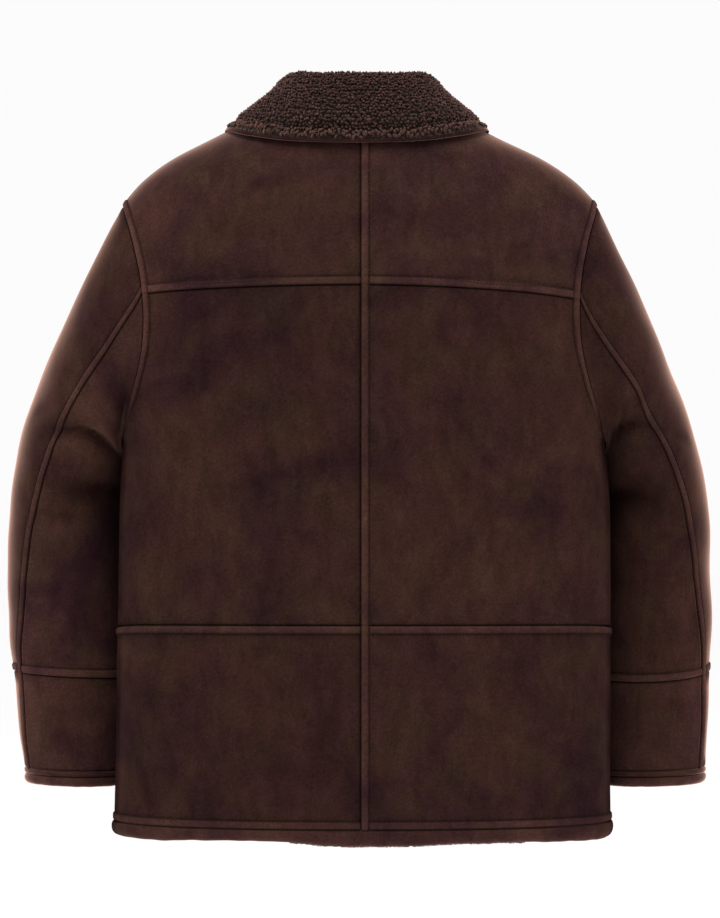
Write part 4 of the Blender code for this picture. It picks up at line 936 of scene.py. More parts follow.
class Panel:
    """A piece of skin inside four curves on a surface."""

    def __init__(self, surface, place, bands=(), strength=None, rims=None, lift=None, free=(),
                 shaded=None, shadowed=None):
        self.surface = surface
        self.shaded = shaded or body_painted_shade
        self.shadowed = shadowed or (lambda a, b: 0.0 * a)
        self.place = place
        self.bands = bands
        self.strength = strength or (lambda edge, share: 1.0 + 0.0 * share)
        self.rims = rims or {}
        self.lift = lift or (lambda a, b: 0.0 * a)
        self.free = free

    def stops(self, edge):
        """Distances from an edge at which the mesh has a line."""
        return BAND_STOPS if edge in self.bands else PLAIN_STOPS

    def shares(self):
        """Shares at which the mesh's lines lie, evenly spaced on the skin."""
        even = np.linspace(0, 1, 81)
        u, v = np.meshgrid(even, even, indexing="ij")
        points = self.surface(*self.place(u, v))[0]
        across = walked(points, 0)
        down = walked(points, 1)
        left, right, top, bottom = (self.stops(edge) for edge in EDGES)
        columns = int((across[-1].mean() - left[-1] - right[-1]) / SPACING)
        rows = int((down[:, -1].mean() - top[-1] - bottom[-1]) / SPACING)
        near_u = spread(across.mean(axis=1), left, right, columns)
        near_v = spread(down.mean(axis=0), top, bottom, rows)
        u = np.empty((len(near_u), len(near_v)))
        v = np.empty_like(u)
        for j, share in enumerate(near_v):
            walk = np.array([np.interp(share, even, line) for line in across])
            u[:, j] = spread(walk, left, right, columns)
        for i, share in enumerate(near_u):
            walk = np.array([np.interp(share, even, line) for line in down.T])
            v[i, :] = spread(walk, top, bottom, rows)
        return u, v

    def measure(self, points):
        """Distance of each point of a grid from the four edges."""
        half_gap = SEAM_GAP / 2
        across = walked(points, 0) + half_gap
        down = walked(points, 1) + half_gap
        return {
            "left": across,
            "right": across[-1:] - across + half_gap,
            "top": down,
            "bottom": down[:, -1:] - down + half_gap,
        }

    def make(self, name, number):
        """Shape both faces of the wall, sew its edges and make its mesh."""
        u, v = self.shares()
        a, b = self.place(u, v)
        point, normal, give = self.surface(a, b)
        away = self.measure(point)
        lift = 0.0 * u
        mark = 0.0 * u
        pucker = 0.0 * u
        through = -normal
        for edge in EDGES:
            share = v if edge in ("left", "right") else u
            far = away[edge]
            if edge in self.bands:
                strength = self.strength(edge, share)
                band = band_relief(far) * strength + seam_relief(far) * (1 - strength)
                tint = band_mark(far) * strength + seam_mark(far) * (1 - strength)
            else:
                band = seam_relief(far)
                tint = seam_mark(far)
            if edge in self.free:
                band = np.maximum(band, -0.8 * hump(far, 1.6))
                tint = np.maximum(tint, -0.2)
            if edge in ("top", "bottom"):
                shown = 1 - 0.75 * self.on_long_band(away)
                band = band * shown
                tint = tint * shown
            lift = lift + band
            mark = mark + tint
            pucker = np.maximum(pucker, 1 - ease((far - 9.0) / 16.0))
        self.away = away
        base = point + normal * self.lift(a, b)[..., None]
        calm = np.ones_like(u)
        for edge, rim in self.rims.items():
            outer_rim, inner_rim, held = rim(u, v)
            near = held * (1 - ease(away[edge] / RIM_FADE))
            calm = calm * (1 - held * (1 - ease(away[edge] / 20.0)))
            way = unit(inner_rim - outer_rim)
            through = unit(through * (1 - near)[..., None] + way * near[..., None])
        give = give * calm
        wool = 0.9 * wander(point, 6.0, number) + 0.7 * wander(point, 15.0, number + 1)
        outer = base - through * (lift + give)[..., None]
        inner = base + through * (SKIN - give + wool * ease(self.nearest() / 6.0))[..., None]
        self.seat_rims(u, v, outer, inner)
        self.draw_together(outer)
        self.draw_together(inner)
        self.outer = outer
        self.normals = -through
        columns, rows = u.shape
        total = columns * rows
        points = np.concatenate((outer.reshape(-1, 3), inner.reshape(-1, 3)))
        front = flat_grid(columns, rows)
        back = flat_grid(columns, rows, total, flip=True)
        edge = rim_faces(columns, rows)
        turn_over = dot(
            np.cross(outer[1, 0] - outer[0, 0], outer[0, 1] - outer[0, 0]), normal[0, 0]
        ) < 0
        faces = np.concatenate((front, back, edge))
        if turn_over:
            faces = faces[:, ::-1]
        which = np.repeat((0, 1, 0), (len(front), len(back), len(edge)))
        # Painted shade: the skin is darkened beside the arm and in the sleeve's folds, where shade
        # falls.
        shaded = self.shaded(a, b)
        mark = mark + TONES.get(name, 0.0) - 0.55 * shaded - self.shadowed(a, b)
        # Painted sheen: the edge-on sheen painted into the colour is taken away beside the arm, and
        # is weaker near the seams and towards the shoulders.
        edge_sheen = (1 - shaded) * (0.2 + 0.8 * ease((self.nearest() - 8.5) / 4.0))
        edge_sheen = np.maximum(edge_sheen, 0.0) * (0.5 + 0.5 * ease((-point[..., 2] - 120.0) / 220.0))
        marks = {"tone_and_shade": np.concatenate((mark.ravel(), np.full(total, -0.3))),
                 "edge_sheen": np.concatenate((edge_sheen.ravel(), np.zeros(total))),
                 "pucker": np.concatenate((pucker.ravel(), np.zeros(total)))}
        made = make_piece(name + "_skin", points, faces, (SUEDE, MAT), which, marks, nodes=(name,))
        self.declare(outer, inner)

    def on_long_band(self, away):
        """1 on a band that runs down the left or right edge."""
        share = 0.0 * away["left"]
        for edge in ("left", "right"):
            if edge in self.bands:
                share = np.maximum(share, 1 - ease((away[edge] - 8.0) / 2.0))
        return share

    def nearest(self):
        """Distance from the nearest edge."""
        return np.minimum.reduce([self.away[edge] for edge in EDGES])

    def draw_together(self, grid):
        """Each sewn edge presses a little into its neighbour, so no light comes through."""
        lines = {
            "left": (np.s_[0, :], np.s_[2, :]), "right": (np.s_[-1, :], np.s_[-3, :]),
            "top": (np.s_[:, 0], np.s_[:, 2]), "bottom": (np.s_[:, -1], np.s_[:, -3]),
        }
        for edge, (line, behind) in lines.items():
            if edge not in self.free:
                grid[line] += unit(grid[line] - grid[behind]) * SEAM_PRESS

    def seat_rims(self, u, v, outer, inner):
        """Set the edge points of a shared rim on it."""
        for edge, rim in self.rims.items():
            line = {"left": np.s_[0, :], "right": np.s_[-1, :], "top": np.s_[:, 0]}[edge]
            outer_rim, inner_rim, held = rim(u, v)
            on = held[line] > 0.999
            outer[line][on] = outer_rim[line][on]
            inner[line][on] = inner_rim[line][on]

    def declare(self, outer, inner):
        """Measure the flat cut: the size of the skin's middle, and its area; nothing is done with
        them.
        """
        middle = (outer + inner) / 2
        width = walked(middle, 0)[-1].max()
        length = walked(middle, 1)[:, -1].max()
        area = grid_area(middle)
        flat = (round(width * MM, 3), round(length * MM, 3))
        area = round(min(area * MM * MM, flat[0] * flat[1]), 5)


def grid_area(grid):
    first = grid[1:, :-1] - grid[:-1, :-1]
    second = grid[:-1, 1:] - grid[:-1, :-1]
    return float(np.linalg.norm(np.cross(first, second), axis=-1).sum())


# ------------------------------------------------------------------ body panels
def centre_bands(side):
    """The band of the centre back seam lies on the right panels."""
    return ("left",) if side > 0 else ()


def centre_line(top_drop, bottom_drop):
    def line(share):
        drop = top_drop + (bottom_drop - top_drop) * share
        return centre_back(drop), drop
    return line


def neck_through(side, turn):
    normal = torso_normal(*neckline(side, turn))
    level = unit(normal * np.array((1.0, 1.0, 0.0)))
    return shared_edge(normal, level, SKIN)


def neck_rim(side, turn, step_in):
    angle, drop = neckline(side, turn)
    point = torso_point(angle, drop)
    normal = torso_normal(angle, drop)
    through = neck_through(side, turn)
    along = unit(through)
    up = np.array((0.0, 0.0, 1.0))
    down = -unit(up - along * dot(along, up)[..., None])
    start = point + down * SEAM_GAP / 2 - normal * np.asarray(step_in)[..., None]
    return start + along * EDGE_DIP, start + through


def yoke_turn(side):
    return armhole_turn_at(YOKE_DROP_RIGHT if side > 0 else YOKE_DROP_LEFT)


NECK_SHARE = 0.30


def yoke_panel(side):
    def top(share):
        neck = neckline(side, NECK_TURN * np.minimum(share / NECK_SHARE, 1.0))
        seam = shoulder_seam(side, (share - NECK_SHARE) / (1 - NECK_SHARE))
        return [np.where(share <= NECK_SHARE, a, b) for a, b in zip(neck, seam)]

    def turn_at(share):
        return TIP_TURN + (yoke_turn(side) - TIP_TURN) * share

    def top_rim(u, v):
        turn = NECK_TURN * np.minimum(u / NECK_SHARE, 1.0)
        outer, inner = neck_rim(side, turn, 0.0 * u)
        return outer, inner, (u <= NECK_SHARE) * 1.0

    def right_rim(u, v):
        outer, inner = armhole_rim(side, turn_at(v), -1)
        return outer, inner, np.ones_like(u)

    place = coons(
        centre_line(0.0, YOKE_DROP_CENTRE),
        lambda share: armhole(side, turn_at(share)),
        top,
        lambda share: yoke_seam(side, share),
    )
    rims = {"top": top_rim, "right": right_rim}
    return Panel(torso, place, ("right", "bottom") + centre_bands(side), rims=rims)


def fading_band(underarm):
    def strength(edge, share):
        if edge != "right":
            return 1.0 + 0.0 * share
        return 1 - ease((share - underarm * 0.46) / (underarm * 0.30))
    return strength


def side_curve(side, start, end, underarm, bottom_drop):
    """The armhole from one turn to another, then the side seam."""
    def line(share):
        hole = armhole(side, start + (end - start) * np.minimum(share / underarm, 1.0))
        part = (share - underarm) / (1 - underarm)
        below = (side * 90.0, UNDERARM_DROP + (bottom_drop - UNDERARM_DROP) * part)
        return [np.where(share < underarm - 1e-9, a, b) for a, b in zip(hole, below)]
    return line


def side_rim(side, start, end, underarm):
    def rim(u, v):
        turn = start + (end - start) * np.minimum(v / underarm, 1.0)
        outer, inner = armhole_rim(side, turn, -1)
        return outer, inner, 1 - ease((v - underarm) / 0.03)
    return rim


def back_panel(side):
    underarm = 0.45
    start = yoke_turn(side)
    place = coons(
        centre_line(YOKE_DROP_CENTRE, WAIST_DROP_CENTRE),
        side_curve(side, start, 180.0, underarm, WAIST_DROP_SIDE),
        lambda share: yoke_seam(side, share),
        lambda share: waist_seam(side, share),
    )
    rims = {"right": side_rim(side, start, 180.0, underarm)}
    bands = ("right",) + centre_bands(side)
    return Panel(torso, place, bands, strength=fading_band(underarm), rims=rims)


def back_skirt_panel(side):
    def right(share):
        return side * 90.0 + 0 * share, WAIST_DROP_SIDE + (PANEL_HEM_DROP - WAIST_DROP_SIDE) * share

    def bottom(share):
        start = centre_back(PANEL_HEM_DROP)
        return start + (side * 90 - start) * share, PANEL_HEM_DROP + 0 * share

    place = coons(
        centre_line(WAIST_DROP_CENTRE, PANEL_HEM_DROP),
        right,
        lambda share: waist_seam(side, share),
        bottom,
    )
    return Panel(torso, place, ("top", "bottom") + centre_bands(side))


def underlay(side, depth):
    """The right front steps inside the left one at the centre."""
    def lift(angle, drop):
        x = torso_point(angle, drop)[..., 0] - read_table(TORSO, "mid_x", drop)
        stepped_in = -depth * (1 - ease((x - STEP_START) / STEP_WIDTH))
        return stepped_in if side > 0 else 0.0 * stepped_in
    return lift


def front_edge(side, drop):
    return side * (180 + angle_for_x(OVERLAP, drop))


FRONT_TURN = 180 + float(np.degrees(np.arcsin(OVERLAP / NECK_HALF_WIDTH)))
FRONT_SHARE = 0.46
SHOULDER_SHARE = 0.06        # the front's rows follow the shoulder seam down to here
SHOULDER_SLACK = 4.0
LEAST_SPREAD = 0.5           # of the columns' even spacing beside the armhole


def front_panel(side):
    underarm = 0.42
    lift = underlay(side, FRONT_UNDERLAY)
    top_drop = float(neckline(side, FRONT_TURN)[1])

    def neck_turn_at(share):
        part = np.minimum(share / FRONT_SHARE, 1.0)
        return FRONT_TURN + (NECK_TURN - FRONT_TURN) * part

    def left(share):
        drop = top_drop + (PANEL_HEM_DROP - top_drop) * share
        return front_edge(side, drop), drop

    def top(share):
        neck = neckline(side, neck_turn_at(share))
        seam = shoulder_seam(side, (share - FRONT_SHARE) / (1 - FRONT_SHARE))
        return [np.where(share <= FRONT_SHARE, a, b) for a, b in zip(neck, seam)]

    def bottom(share):
        start = front_edge(side, PANEL_HEM_DROP)
        return start + (side * 90 - start) * share, PANEL_HEM_DROP + 0 * share

    def top_rim(u, v):
        turn = neck_turn_at(u)
        outer, inner = neck_rim(side, turn, -lift(*neckline(side, turn)))
        return outer, inner, (u <= FRONT_SHARE) * 1.0

    def strength(edge, share):
        if edge == "bottom" and side > 0:
            return ease((share - 0.16) / 0.05)
        return fading_band(underarm)(edge, share)

    side_line = side_curve(side, TIP_TURN, -180.0, underarm, PANEL_HEM_DROP)
    rims = {"top": top_rim, "right": side_rim(side, TIP_TURN, -180.0, underarm)}
    bands = ("right", "bottom", "left") if side < 0 else ("right", "bottom")
    patch = coons(left, side_line, top, bottom)
    hole_angle, hole_drop = armhole(side, np.linspace(TIP_TURN, -180.0, 181))

    def place(u, v):
        """The patch, kept from folding over the hollow of the armhole."""
        angle, drop = patch(u, v)
        edge = np.interp(drop, hole_drop, hole_angle)
        under = ease(v / SHOULDER_SHARE)
        width = side * (front_edge(side, drop) - edge)
        least = LEAST_SPREAD * (1 - u) * width * under - SHOULDER_SLACK * (1 - under)
        inside = np.maximum(side * (angle - edge), least)
        return np.where(v > 0, edge + side * inside, angle), drop

    return Panel(torso, place, bands, strength=strength, rims=rims, lift=lift, free=("left",))


# ------------------------------------------------------------------ sleeve pieces
def seam_turns(side, at):
    """Turns of the two long seams: the front one, then the back one."""
    column = "back_right" if side > 0 else "back_left"
    back = read_table(SLEEVE_SEAMS, column, at)
    start = yoke_turn(side) - read_table(SLEEVE_SEAMS, column, 0.0)
    back = back + start * (1 - ease(np.asarray(at) / 3))
    return read_table(SLEEVE_SEAMS, "front_turn", at), back


def sleeve_turn(side, piece, u, at):
    front, back = seam_turns(side, at)
    if piece == "outer":
        return front + (back - front) * u
    return back + (front + 360 - back) * u


def sleeve_panel(side, piece):
    def place(u, v):
        rough = v * (CROSS_AT_RIGHT if side > 0 else CROSS_AT_LEFT)
        at = v * cross_seam(side, sleeve_turn(side, piece, u, rough))
        return sleeve_turn(side, piece, u, at), at

    def top_rim(u, v):
        outer, inner = armhole_rim(side, sleeve_turn(side, piece, u, 0.0), 1)
        return outer, inner, np.ones_like(u)

    bands = ("right", "bottom") if piece == "outer" else ("bottom",)
    return Panel(sleeve(side), place, bands, rims={"top": top_rim}, shaded=sleeve_painted_shade,
                 shadowed=painted_fold_shade(side))


def cuff_panel(side, piece):
    def place(u, v):
        start = cross_seam(side, sleeve_turn(side, piece, u, 12.0))
        at = start + (CUFF_AT - start) * v
        return sleeve_turn(side, piece, u, at), at

    bands = ("right",) if piece == "outer" else ()
    return Panel(sleeve(side), place, bands, shaded=sleeve_painted_shade, shadowed=painted_fold_shade(side))


# ------------------------------------------------------------------ rolled edges
def swept(name, outlines, which, marks, closed, node):
    """A strip swept through equal outlines, closed round or capped at both ends."""
    count, size, _ = outlines.shape
    around = count if closed else count - 1
    i, j = np.meshgrid(np.arange(around), np.arange(size), indexing="ij")
    ahead = (i + 1) % count
    beside = (j + 1) % size
    faces = np.stack(
        (i * size + j, ahead * size + j, ahead * size + beside, i * size + beside), axis=-1
    ).reshape(-1, 4)
    which = np.broadcast_to(which, (around, size)).ravel()
    if not closed:
        half = size // 2
        for start, flip in ((0, False), ((count - 1) * size, True)):
            k = np.arange(half - 1)
            cap = np.stack((k, k + 1, size - 2 - k, size - 1 - k), axis=1) + start
            faces = np.concatenate((faces, cap if flip else cap[:, ::-1]))
            which = np.concatenate((which, np.zeros(len(cap), int)))
    first = outlines[0].mean(axis=0)
    face = outlines[0, 1] - outlines[0, 0]
    out = np.cross(outlines[1, 0] - outlines[0, 0], face)
    if np.dot(out, outlines[0, 0] - first) < 0:
        faces = faces[:, ::-1]
    return make_piece(
        name, outlines.reshape(-1, 3), faces, (SUEDE, MAT), which, marks, nodes=(node,)
    )


def hem_roll(name, angles, lift):
    """The turned edge of the skirt along the given angles, uneven as a hand sews it."""
    start = PANEL_HEM_DROP - SEAM_PRESS
    length = np.linalg.norm(np.diff(torso_point(angles, start), axis=0), axis=-1).sum()
    fine = np.interp(
        np.linspace(0, 1, int(length / ROLL_SPACING) + 2),
        np.linspace(0, 1, len(angles)), angles,
    )
    press = SEAM_PRESS / length
    fine[0] -= (fine[-1] - fine[0]) * press
    fine[-1] += (fine[-1] - fine[0]) * press
    down = np.array([roll.down for roll in HEM_ROLL])
    out = np.array([roll.lift for roll in HEM_ROLL])
    angle, drop = np.meshgrid(fine, start + down, indexing="ij")
    point, normal, give = torso(angle, drop)
    uneven = 0.35 * wander(point * np.array((1, 1, 0)), 9.0, HEM_SEED)
    sag = 0.7 * wander(point * np.array((1, 1, 0)), 40.0, HEM_SEED + 1)
    low = ease(down / 10.0)
    deep = out + uneven * ease(down / 3.0) * (out > -3) + give + lift(angle, start + 0 * angle)
    points = point + normal * deep[..., None]
    sunk = read_table(HEM_SAG, "sunk", points[..., 0]) * (points[..., 1] < 0)
    points[..., 2] -= (uneven + sag + sunk) * low
    mark = np.array([0.30 * ease((roll.down - 0.6) / 1.4) - 0.7 * hump(roll.down, 0.8)
                     + 0.60 * ease((roll.down - 2.0) / 11.0) for roll in HEM_ROLL])
    mark = np.where(out < -6.0, -0.5, mark)
    inside = np.array([1 if roll.lift < -6.5 else 0 for roll in HEM_ROLL])
    # Painted shade at the sides, where the arms hang beside the roll; the painted edge-on sheen is
    # taken away there.
    shaded = body_painted_shade(angle, drop)
    marks = {"tone_and_shade": (mark - 0.6 * shaded).ravel(), "edge_sheen": (1 - shaded).ravel()}
    made = swept(name + "_roll", points, inside, marks, False, name)
    declare_roll(points, False)
    return points


def declare_roll(points, closed):
    """Measure a roll, a strip of the panel's own skin turned up: its length and width; nothing is
    done with them.
    """
    ring = np.concatenate((points, points[:1])) if closed else points
    length = walked(ring, 0)[-1].mean()
    loop = np.concatenate((points, points[:, :1]), axis=1)
    width = walked(loop, 1)[:, -1].mean() / 2


def hem_front_angles(side):
    """Angles from the front edge to the side seam, close together at the step."""
    places = [-OVERLAP, OVERLAP / 4, STEP_START, STEP_START + STEP_WIDTH / 2]
    places += [STEP_START + STEP_WIDTH]
    angles = [float(180 - angle_for_x(x, PANEL_HEM_DROP)) for x in places]
    return side * np.concatenate((angles, np.linspace(angles[-1], 90.0, 9)[1:]))


def cuff_roll(side):
    """The turned edge of a sleeve, with the groove of its sewing."""
    per_millimetre = (CUFF_END_AT - CUFF_AT) / CUFF_ROLL_HEIGHT
    start = CUFF_AT - SEAM_PRESS * per_millimetre
    down = np.array([roll.down for roll in CUFF_ROLL])
    out = np.array([roll.lift for roll in CUFF_ROLL])
    turn, at = np.meshgrid(
        np.arange(0, 360, 4.0), start + down * per_millimetre, indexing="ij"
    )
    point, normal, give = sleeve(side)(turn, at)
    uneven = 0.3 * wander(point * np.array((1, 1, 0)), 8.0, 30 + side)
    deep = out + uneven * (out > -3) + give
    points = point + normal * deep[..., None]
    points[..., 2] -= uneven * ease(down / 10.0)
    mark = np.array([0.40 * ease((roll.down - 0.5) / 1.0) - 0.7 * hump(roll.down, 0.7)
                     + 0.60 * ease((roll.down - 7.0) / 8.0)
                     - 1.0 * hump(roll.down - 6.5, 0.8) for roll in CUFF_ROLL])
    mark = np.where(out < -6.0, -0.5, mark)
    inside = np.array([1 if roll.lift < -6.5 else 0 for roll in CUFF_ROLL])
    # Painted shade on the cuff's side towards the body; the painted edge-on sheen is taken away
    # there.
    shaded = sleeve_painted_shade(turn, at)
    marks = {"tone_and_shade": (mark - 0.6 * shaded).ravel(), "edge_sheen": (1 - shaded).ravel()}
    node = "cuff_roll_" + side_name(side)
    made = swept(node + "_skin", points, inside, marks, True, node)
    declare_roll(points, True)


# ------------------------------------------------------------------ stitches and curls
def grains(name, middles, alongs, outs, lengths, widths, heights, look, tufts=None):
    """Small closed grains, each a spindle lying on a surface."""
    across = unit(np.cross(outs, alongs))
    count = len(middles)
    rings = []
    for step, size in ((-0.62, 0.78), (0.0, 1.0), (0.62, 0.78)):
        spine = middles + alongs * (lengths * step)[:, None] \
            + outs * (heights * (1 - abs(step) ** 2) * 0.6)[:, None]
        for swing in (0, 90, 180, 270):
            wide = across * (np.cos(np.radians(swing)) * widths * size)[:, None]
            high = outs * (np.sin(np.radians(swing)) * heights * size)[:, None]
            rings.append(spine + wide + high)
    for step in (-1.0, 1.0):
        rings.append(middles + alongs * (lengths * step)[:, None] - outs * (heights * 0.3)[:, None])
    points = np.stack(rings, axis=1).reshape(-1, 3)
    faces = []
    for ring in (0, 1):
        for k in range(4):
            m = (k + 1) % 4
            a, b = ring * 4 + k, ring * 4 + m
            faces.append((a, b, b + 4))
            faces.append((a, b + 4, a + 4))
    for k in range(4):
        m = (k + 1) % 4
        faces.append((12, m, k))
        faces.append((13, 8 + k, 8 + m))
    faces = np.array(faces)[:, ::-1]
    numbers = np.arange(count)[:, None, None] * 14
    marks = None
    if tufts is not None:
        # Painted highlight on the top of each grain, painted shade on its underside and at its
        # ends.
        painted_light_and_shade = np.array([0.0, 0.28, 0.0, -0.4] * 3 + [-0.25, -0.25])
        marks = {"tuft_tone_and_light": np.clip(tufts[:, None] + painted_light_and_shade, 0.0, 1.0).ravel()}
    make_piece(name, points, (faces[None] + numbers).reshape(-1, 3), (look,), None, marks)


def stitch_row(line, outs):
    """Middles, ways and outward directions of stitches along a line of points."""
    walk = walked(line, 0)
    places = np.arange(STITCH_PITCH, walk[-1] - STITCH_PITCH / 2, STITCH_PITCH)
    middle = np.stack([np.interp(places, walk, line[:, k]) for k in range(3)], axis=1)
    before = np.stack([np.interp(places - 1.5, walk, line[:, k]) for k in range(3)], axis=1)
    after = np.stack([np.interp(places + 1.5, walk, line[:, k]) for k in range(3)], axis=1)
    out = np.stack([np.interp(places, walk, outs[:, k]) for k in range(3)], axis=1)
    return middle, unit(after - before), unit(out)


def band_stitches(panel, edge, end):
    """The row of stitches beside one band of a panel, down to a share of its length."""
    k = STITCH_STOP
    line = {
        "left": np.s_[k, :], "right": np.s_[-1 - k, :],
        "top": np.s_[:, k], "bottom": np.s_[:, -1 - k],
    }[edge]
    points = panel.outer[line]
    facing = panel.normals[line]
    keep = np.arange(len(points)) < np.ceil(end * len(points))
    if edge in ("top", "bottom"):
        keep &= panel.on_long_band(panel.away)[line] < 0.5
    return stitch_row(points[keep], facing[keep])


def sew(name, rows):
    """One piece of all the stitches of a seam."""
    middles, alongs, outs = (np.concatenate([row[k] for row in rows]) for k in range(3))
    ones = np.ones(len(middles))
    grains(name, middles, alongs, outs, ones * STITCH_HALF_LENGTH, ones * STITCH_HALF_WIDTH,
           ones * STITCH_HEIGHT, THREAD)


def wool_curls(name, points, normals, seed, pitch=CURL_PITCH, size=1.0, tone=0.24):
    """Curls of lamb's wool over a grid of points, each turned its own way."""
    chance = np.random.default_rng(seed)
    columns, rows, _ = points.shape
    width = walked(points, 0)[-1].mean()
    length = walked(points, 1)[:, -1].mean()
    across = max(int(width / pitch), 2)
    down = max(int(length / pitch), 2)
    i, j = np.meshgrid(np.arange(across), np.arange(down), indexing="ij")
    u = (i + 0.5 * (j % 2) + chance.uniform(-0.36, 0.36, i.shape) + 0.25) / across
    v = (j + 0.5 + chance.uniform(-0.36, 0.36, i.shape)) / down
    u = np.clip(u, 0, 1).ravel() * (columns - 1)
    v = np.clip(v, 0, 1).ravel() * (rows - 1)
    low_u = np.minimum(u.astype(int), columns - 2)
    low_v = np.minimum(v.astype(int), rows - 2)
    part_u = (u - low_u)[:, None]
    part_v = (v - low_v)[:, None]

    def between(grid):
        first = grid[low_u, low_v] * (1 - part_u) + grid[low_u + 1, low_v] * part_u
        second = grid[low_u, low_v + 1] * (1 - part_u) + grid[low_u + 1, low_v + 1] * part_u
        return first * (1 - part_v) + second * part_v

    middle = between(points)
    out = unit(between(normals))
    side = unit(np.cross(out, np.array((0.13, 0.31, 0.94))))
    other = np.cross(out, side)
    turn = chance.uniform(0, np.pi, len(middle))
    along = side * np.cos(turn)[:, None] + other * np.sin(turn)[:, None]
    lean = unit(out + along * chance.normal(0, 0.2, len(middle))[:, None])
    lengths = chance.uniform(1.3, 2.0, len(middle)) * size
    widths = chance.uniform(1.15, 1.5, len(middle)) * size
    heights = chance.uniform(1.1, 2.0, len(middle)) * size
    tufts = np.clip(chance.normal(tone, 0.2, len(middle)), 0.0, 0.8)
    grains(name, middle + out * 1.1, along, lean, lengths, widths, heights, WOOL,
           tufts)


def wool_fringe(name, points, normals, seed):
    """The combed last row of the collar's wool: longer locks that hang over its edge."""
    chance = np.random.default_rng(seed)
    columns, rows, _ = points.shape
    width = walked(points, 0)[-1].mean()
    count = int(width / FRINGE_PITCH)
    middles, alongs, outs, short = [], [], [], []
    for low, high in ((0.05, 0.45), (0.4, 0.85)):
        place = (np.arange(count) + chance.uniform(-0.4, 0.4, count) + 0.5) / count
        u = place * (columns - 1)
        v = chance.uniform(low, high, count) * (rows - 1)
        i = np.clip(u.astype(int), 0, columns - 2)
        j = np.clip(v.astype(int), 0, rows - 2)
        part_u = (u - i)[:, None]
        part_v = (v - j)[:, None]
        first = points[i, j] * (1 - part_u) + points[i + 1, j] * part_u
        second = points[i, j + 1] * (1 - part_u) + points[i + 1, j + 1] * part_u
        middles.append(first * (1 - part_v) + second * part_v)
        round_it = unit(points[i + 1, j] - points[i, j])
        alongs.append(unit(unit(second - first) + round_it * chance.normal(0, 0.6, (count, 1))))
        outs.append(unit(normals[i, j]))
        around = np.abs(2 * place - 1) * COLLAR_END_TURN
        short.append(1 - 0.5 * hump(around - COLLAR_CORNER_TURN, 20.0))
    middles, alongs, outs, short = (
        np.concatenate(part) for part in (middles, alongs, outs, short)
    )
    many = len(middles)
    lengths = chance.uniform(1.9, 3.1, many) * short
    widths = chance.uniform(1.1, 1.6, many) * short
    heights = chance.uniform(1.3, 2.1, many) * short
    tufts = np.clip(chance.normal(0.40, 0.16, many), 0.05, 0.85)
    grains(name, middles + outs * (1.2 * short)[:, None], alongs, outs, lengths, widths,
           heights, WOOL, tufts)


# ------------------------------------------------------------------ collar
def collar_lines(turns):
    """Middle lines of the collar's skin round the neck, base to edge."""
    side = np.where(turns >= 0, 1.0, -1.0)
    around = np.abs(turns)
    angle, drop = neckline(side, around)
    point = torso_point(angle, drop)
    normal = torso_normal(angle, drop)
    out = unit(normal * np.array((1.0, 1.0, 0.0)))
    up = np.array((0.0, 0.0, 1.0))
    through = shared_edge(normal, out, SKIN)
    after = torso_point(*neckline(side, around + 2))
    before = torso_point(*neckline(side, around - 2))
    lift = unit(np.cross(through, after - before))
    lift = lift * np.where(lift[:, 2] < 0, -1.0, 1.0)[:, None]
    base = point + through / 2 + lift * 0.3
    top = point - out * (COLLAR_SKIN / 2)
    top[:, 2] = read_table(COLLAR, "fold_height", around) - COLLAR_FOLD_RADIUS - COLLAR_SKIN / 2
    lines = []
    for share in np.linspace(0, 1, 9):
        lines.append(base + (top - base) * share - out * (2.4 * share * (1 - share)))
    for arc in np.linspace(0, 180, 13)[1:]:
        swing = -out * np.cos(np.radians(arc)) + up * np.sin(np.radians(arc))
        lines.append(top + out * COLLAR_FOLD_RADIUS + swing * COLLAR_FOLD_RADIUS)
    start = lines[-1]
    edge_angle = side * read_table(COLLAR, "edge_angle", around)
    edge_drop = read_table(COLLAR, "edge_drop", around)
    edge_normal = torso_normal(edge_angle, edge_drop)
    corner = hump(around - COLLAR_CORNER_TURN, 26.0)[:, None]
    end = torso_point(edge_angle, edge_drop)
    end = end + edge_normal * (COLLAR_SKIN / 2 + 0.9 - 1.6 * corner)
    far = np.where(side > 0, 9.5, 7.5)[:, None]
    end = end + (out * far - up * 5.0) * corner
    bulge = read_table(COLLAR, "bulge", around)[:, None]
    away = unit(out * 0.6 + edge_normal)
    for share in np.concatenate((np.linspace(0, 1, 25)[1:-1], (0.975, 1.0))):
        lines.append(start + (end - start) * share + away * (bulge * np.sin(np.pi * share)))
    return np.stack(lines, axis=1), through


def grid_normals(grid):
    """Outward directions of a grid of points."""
    round_it = np.gradient(grid, axis=0)
    along = np.gradient(grid, axis=1)
    return unit(np.cross(along, round_it))


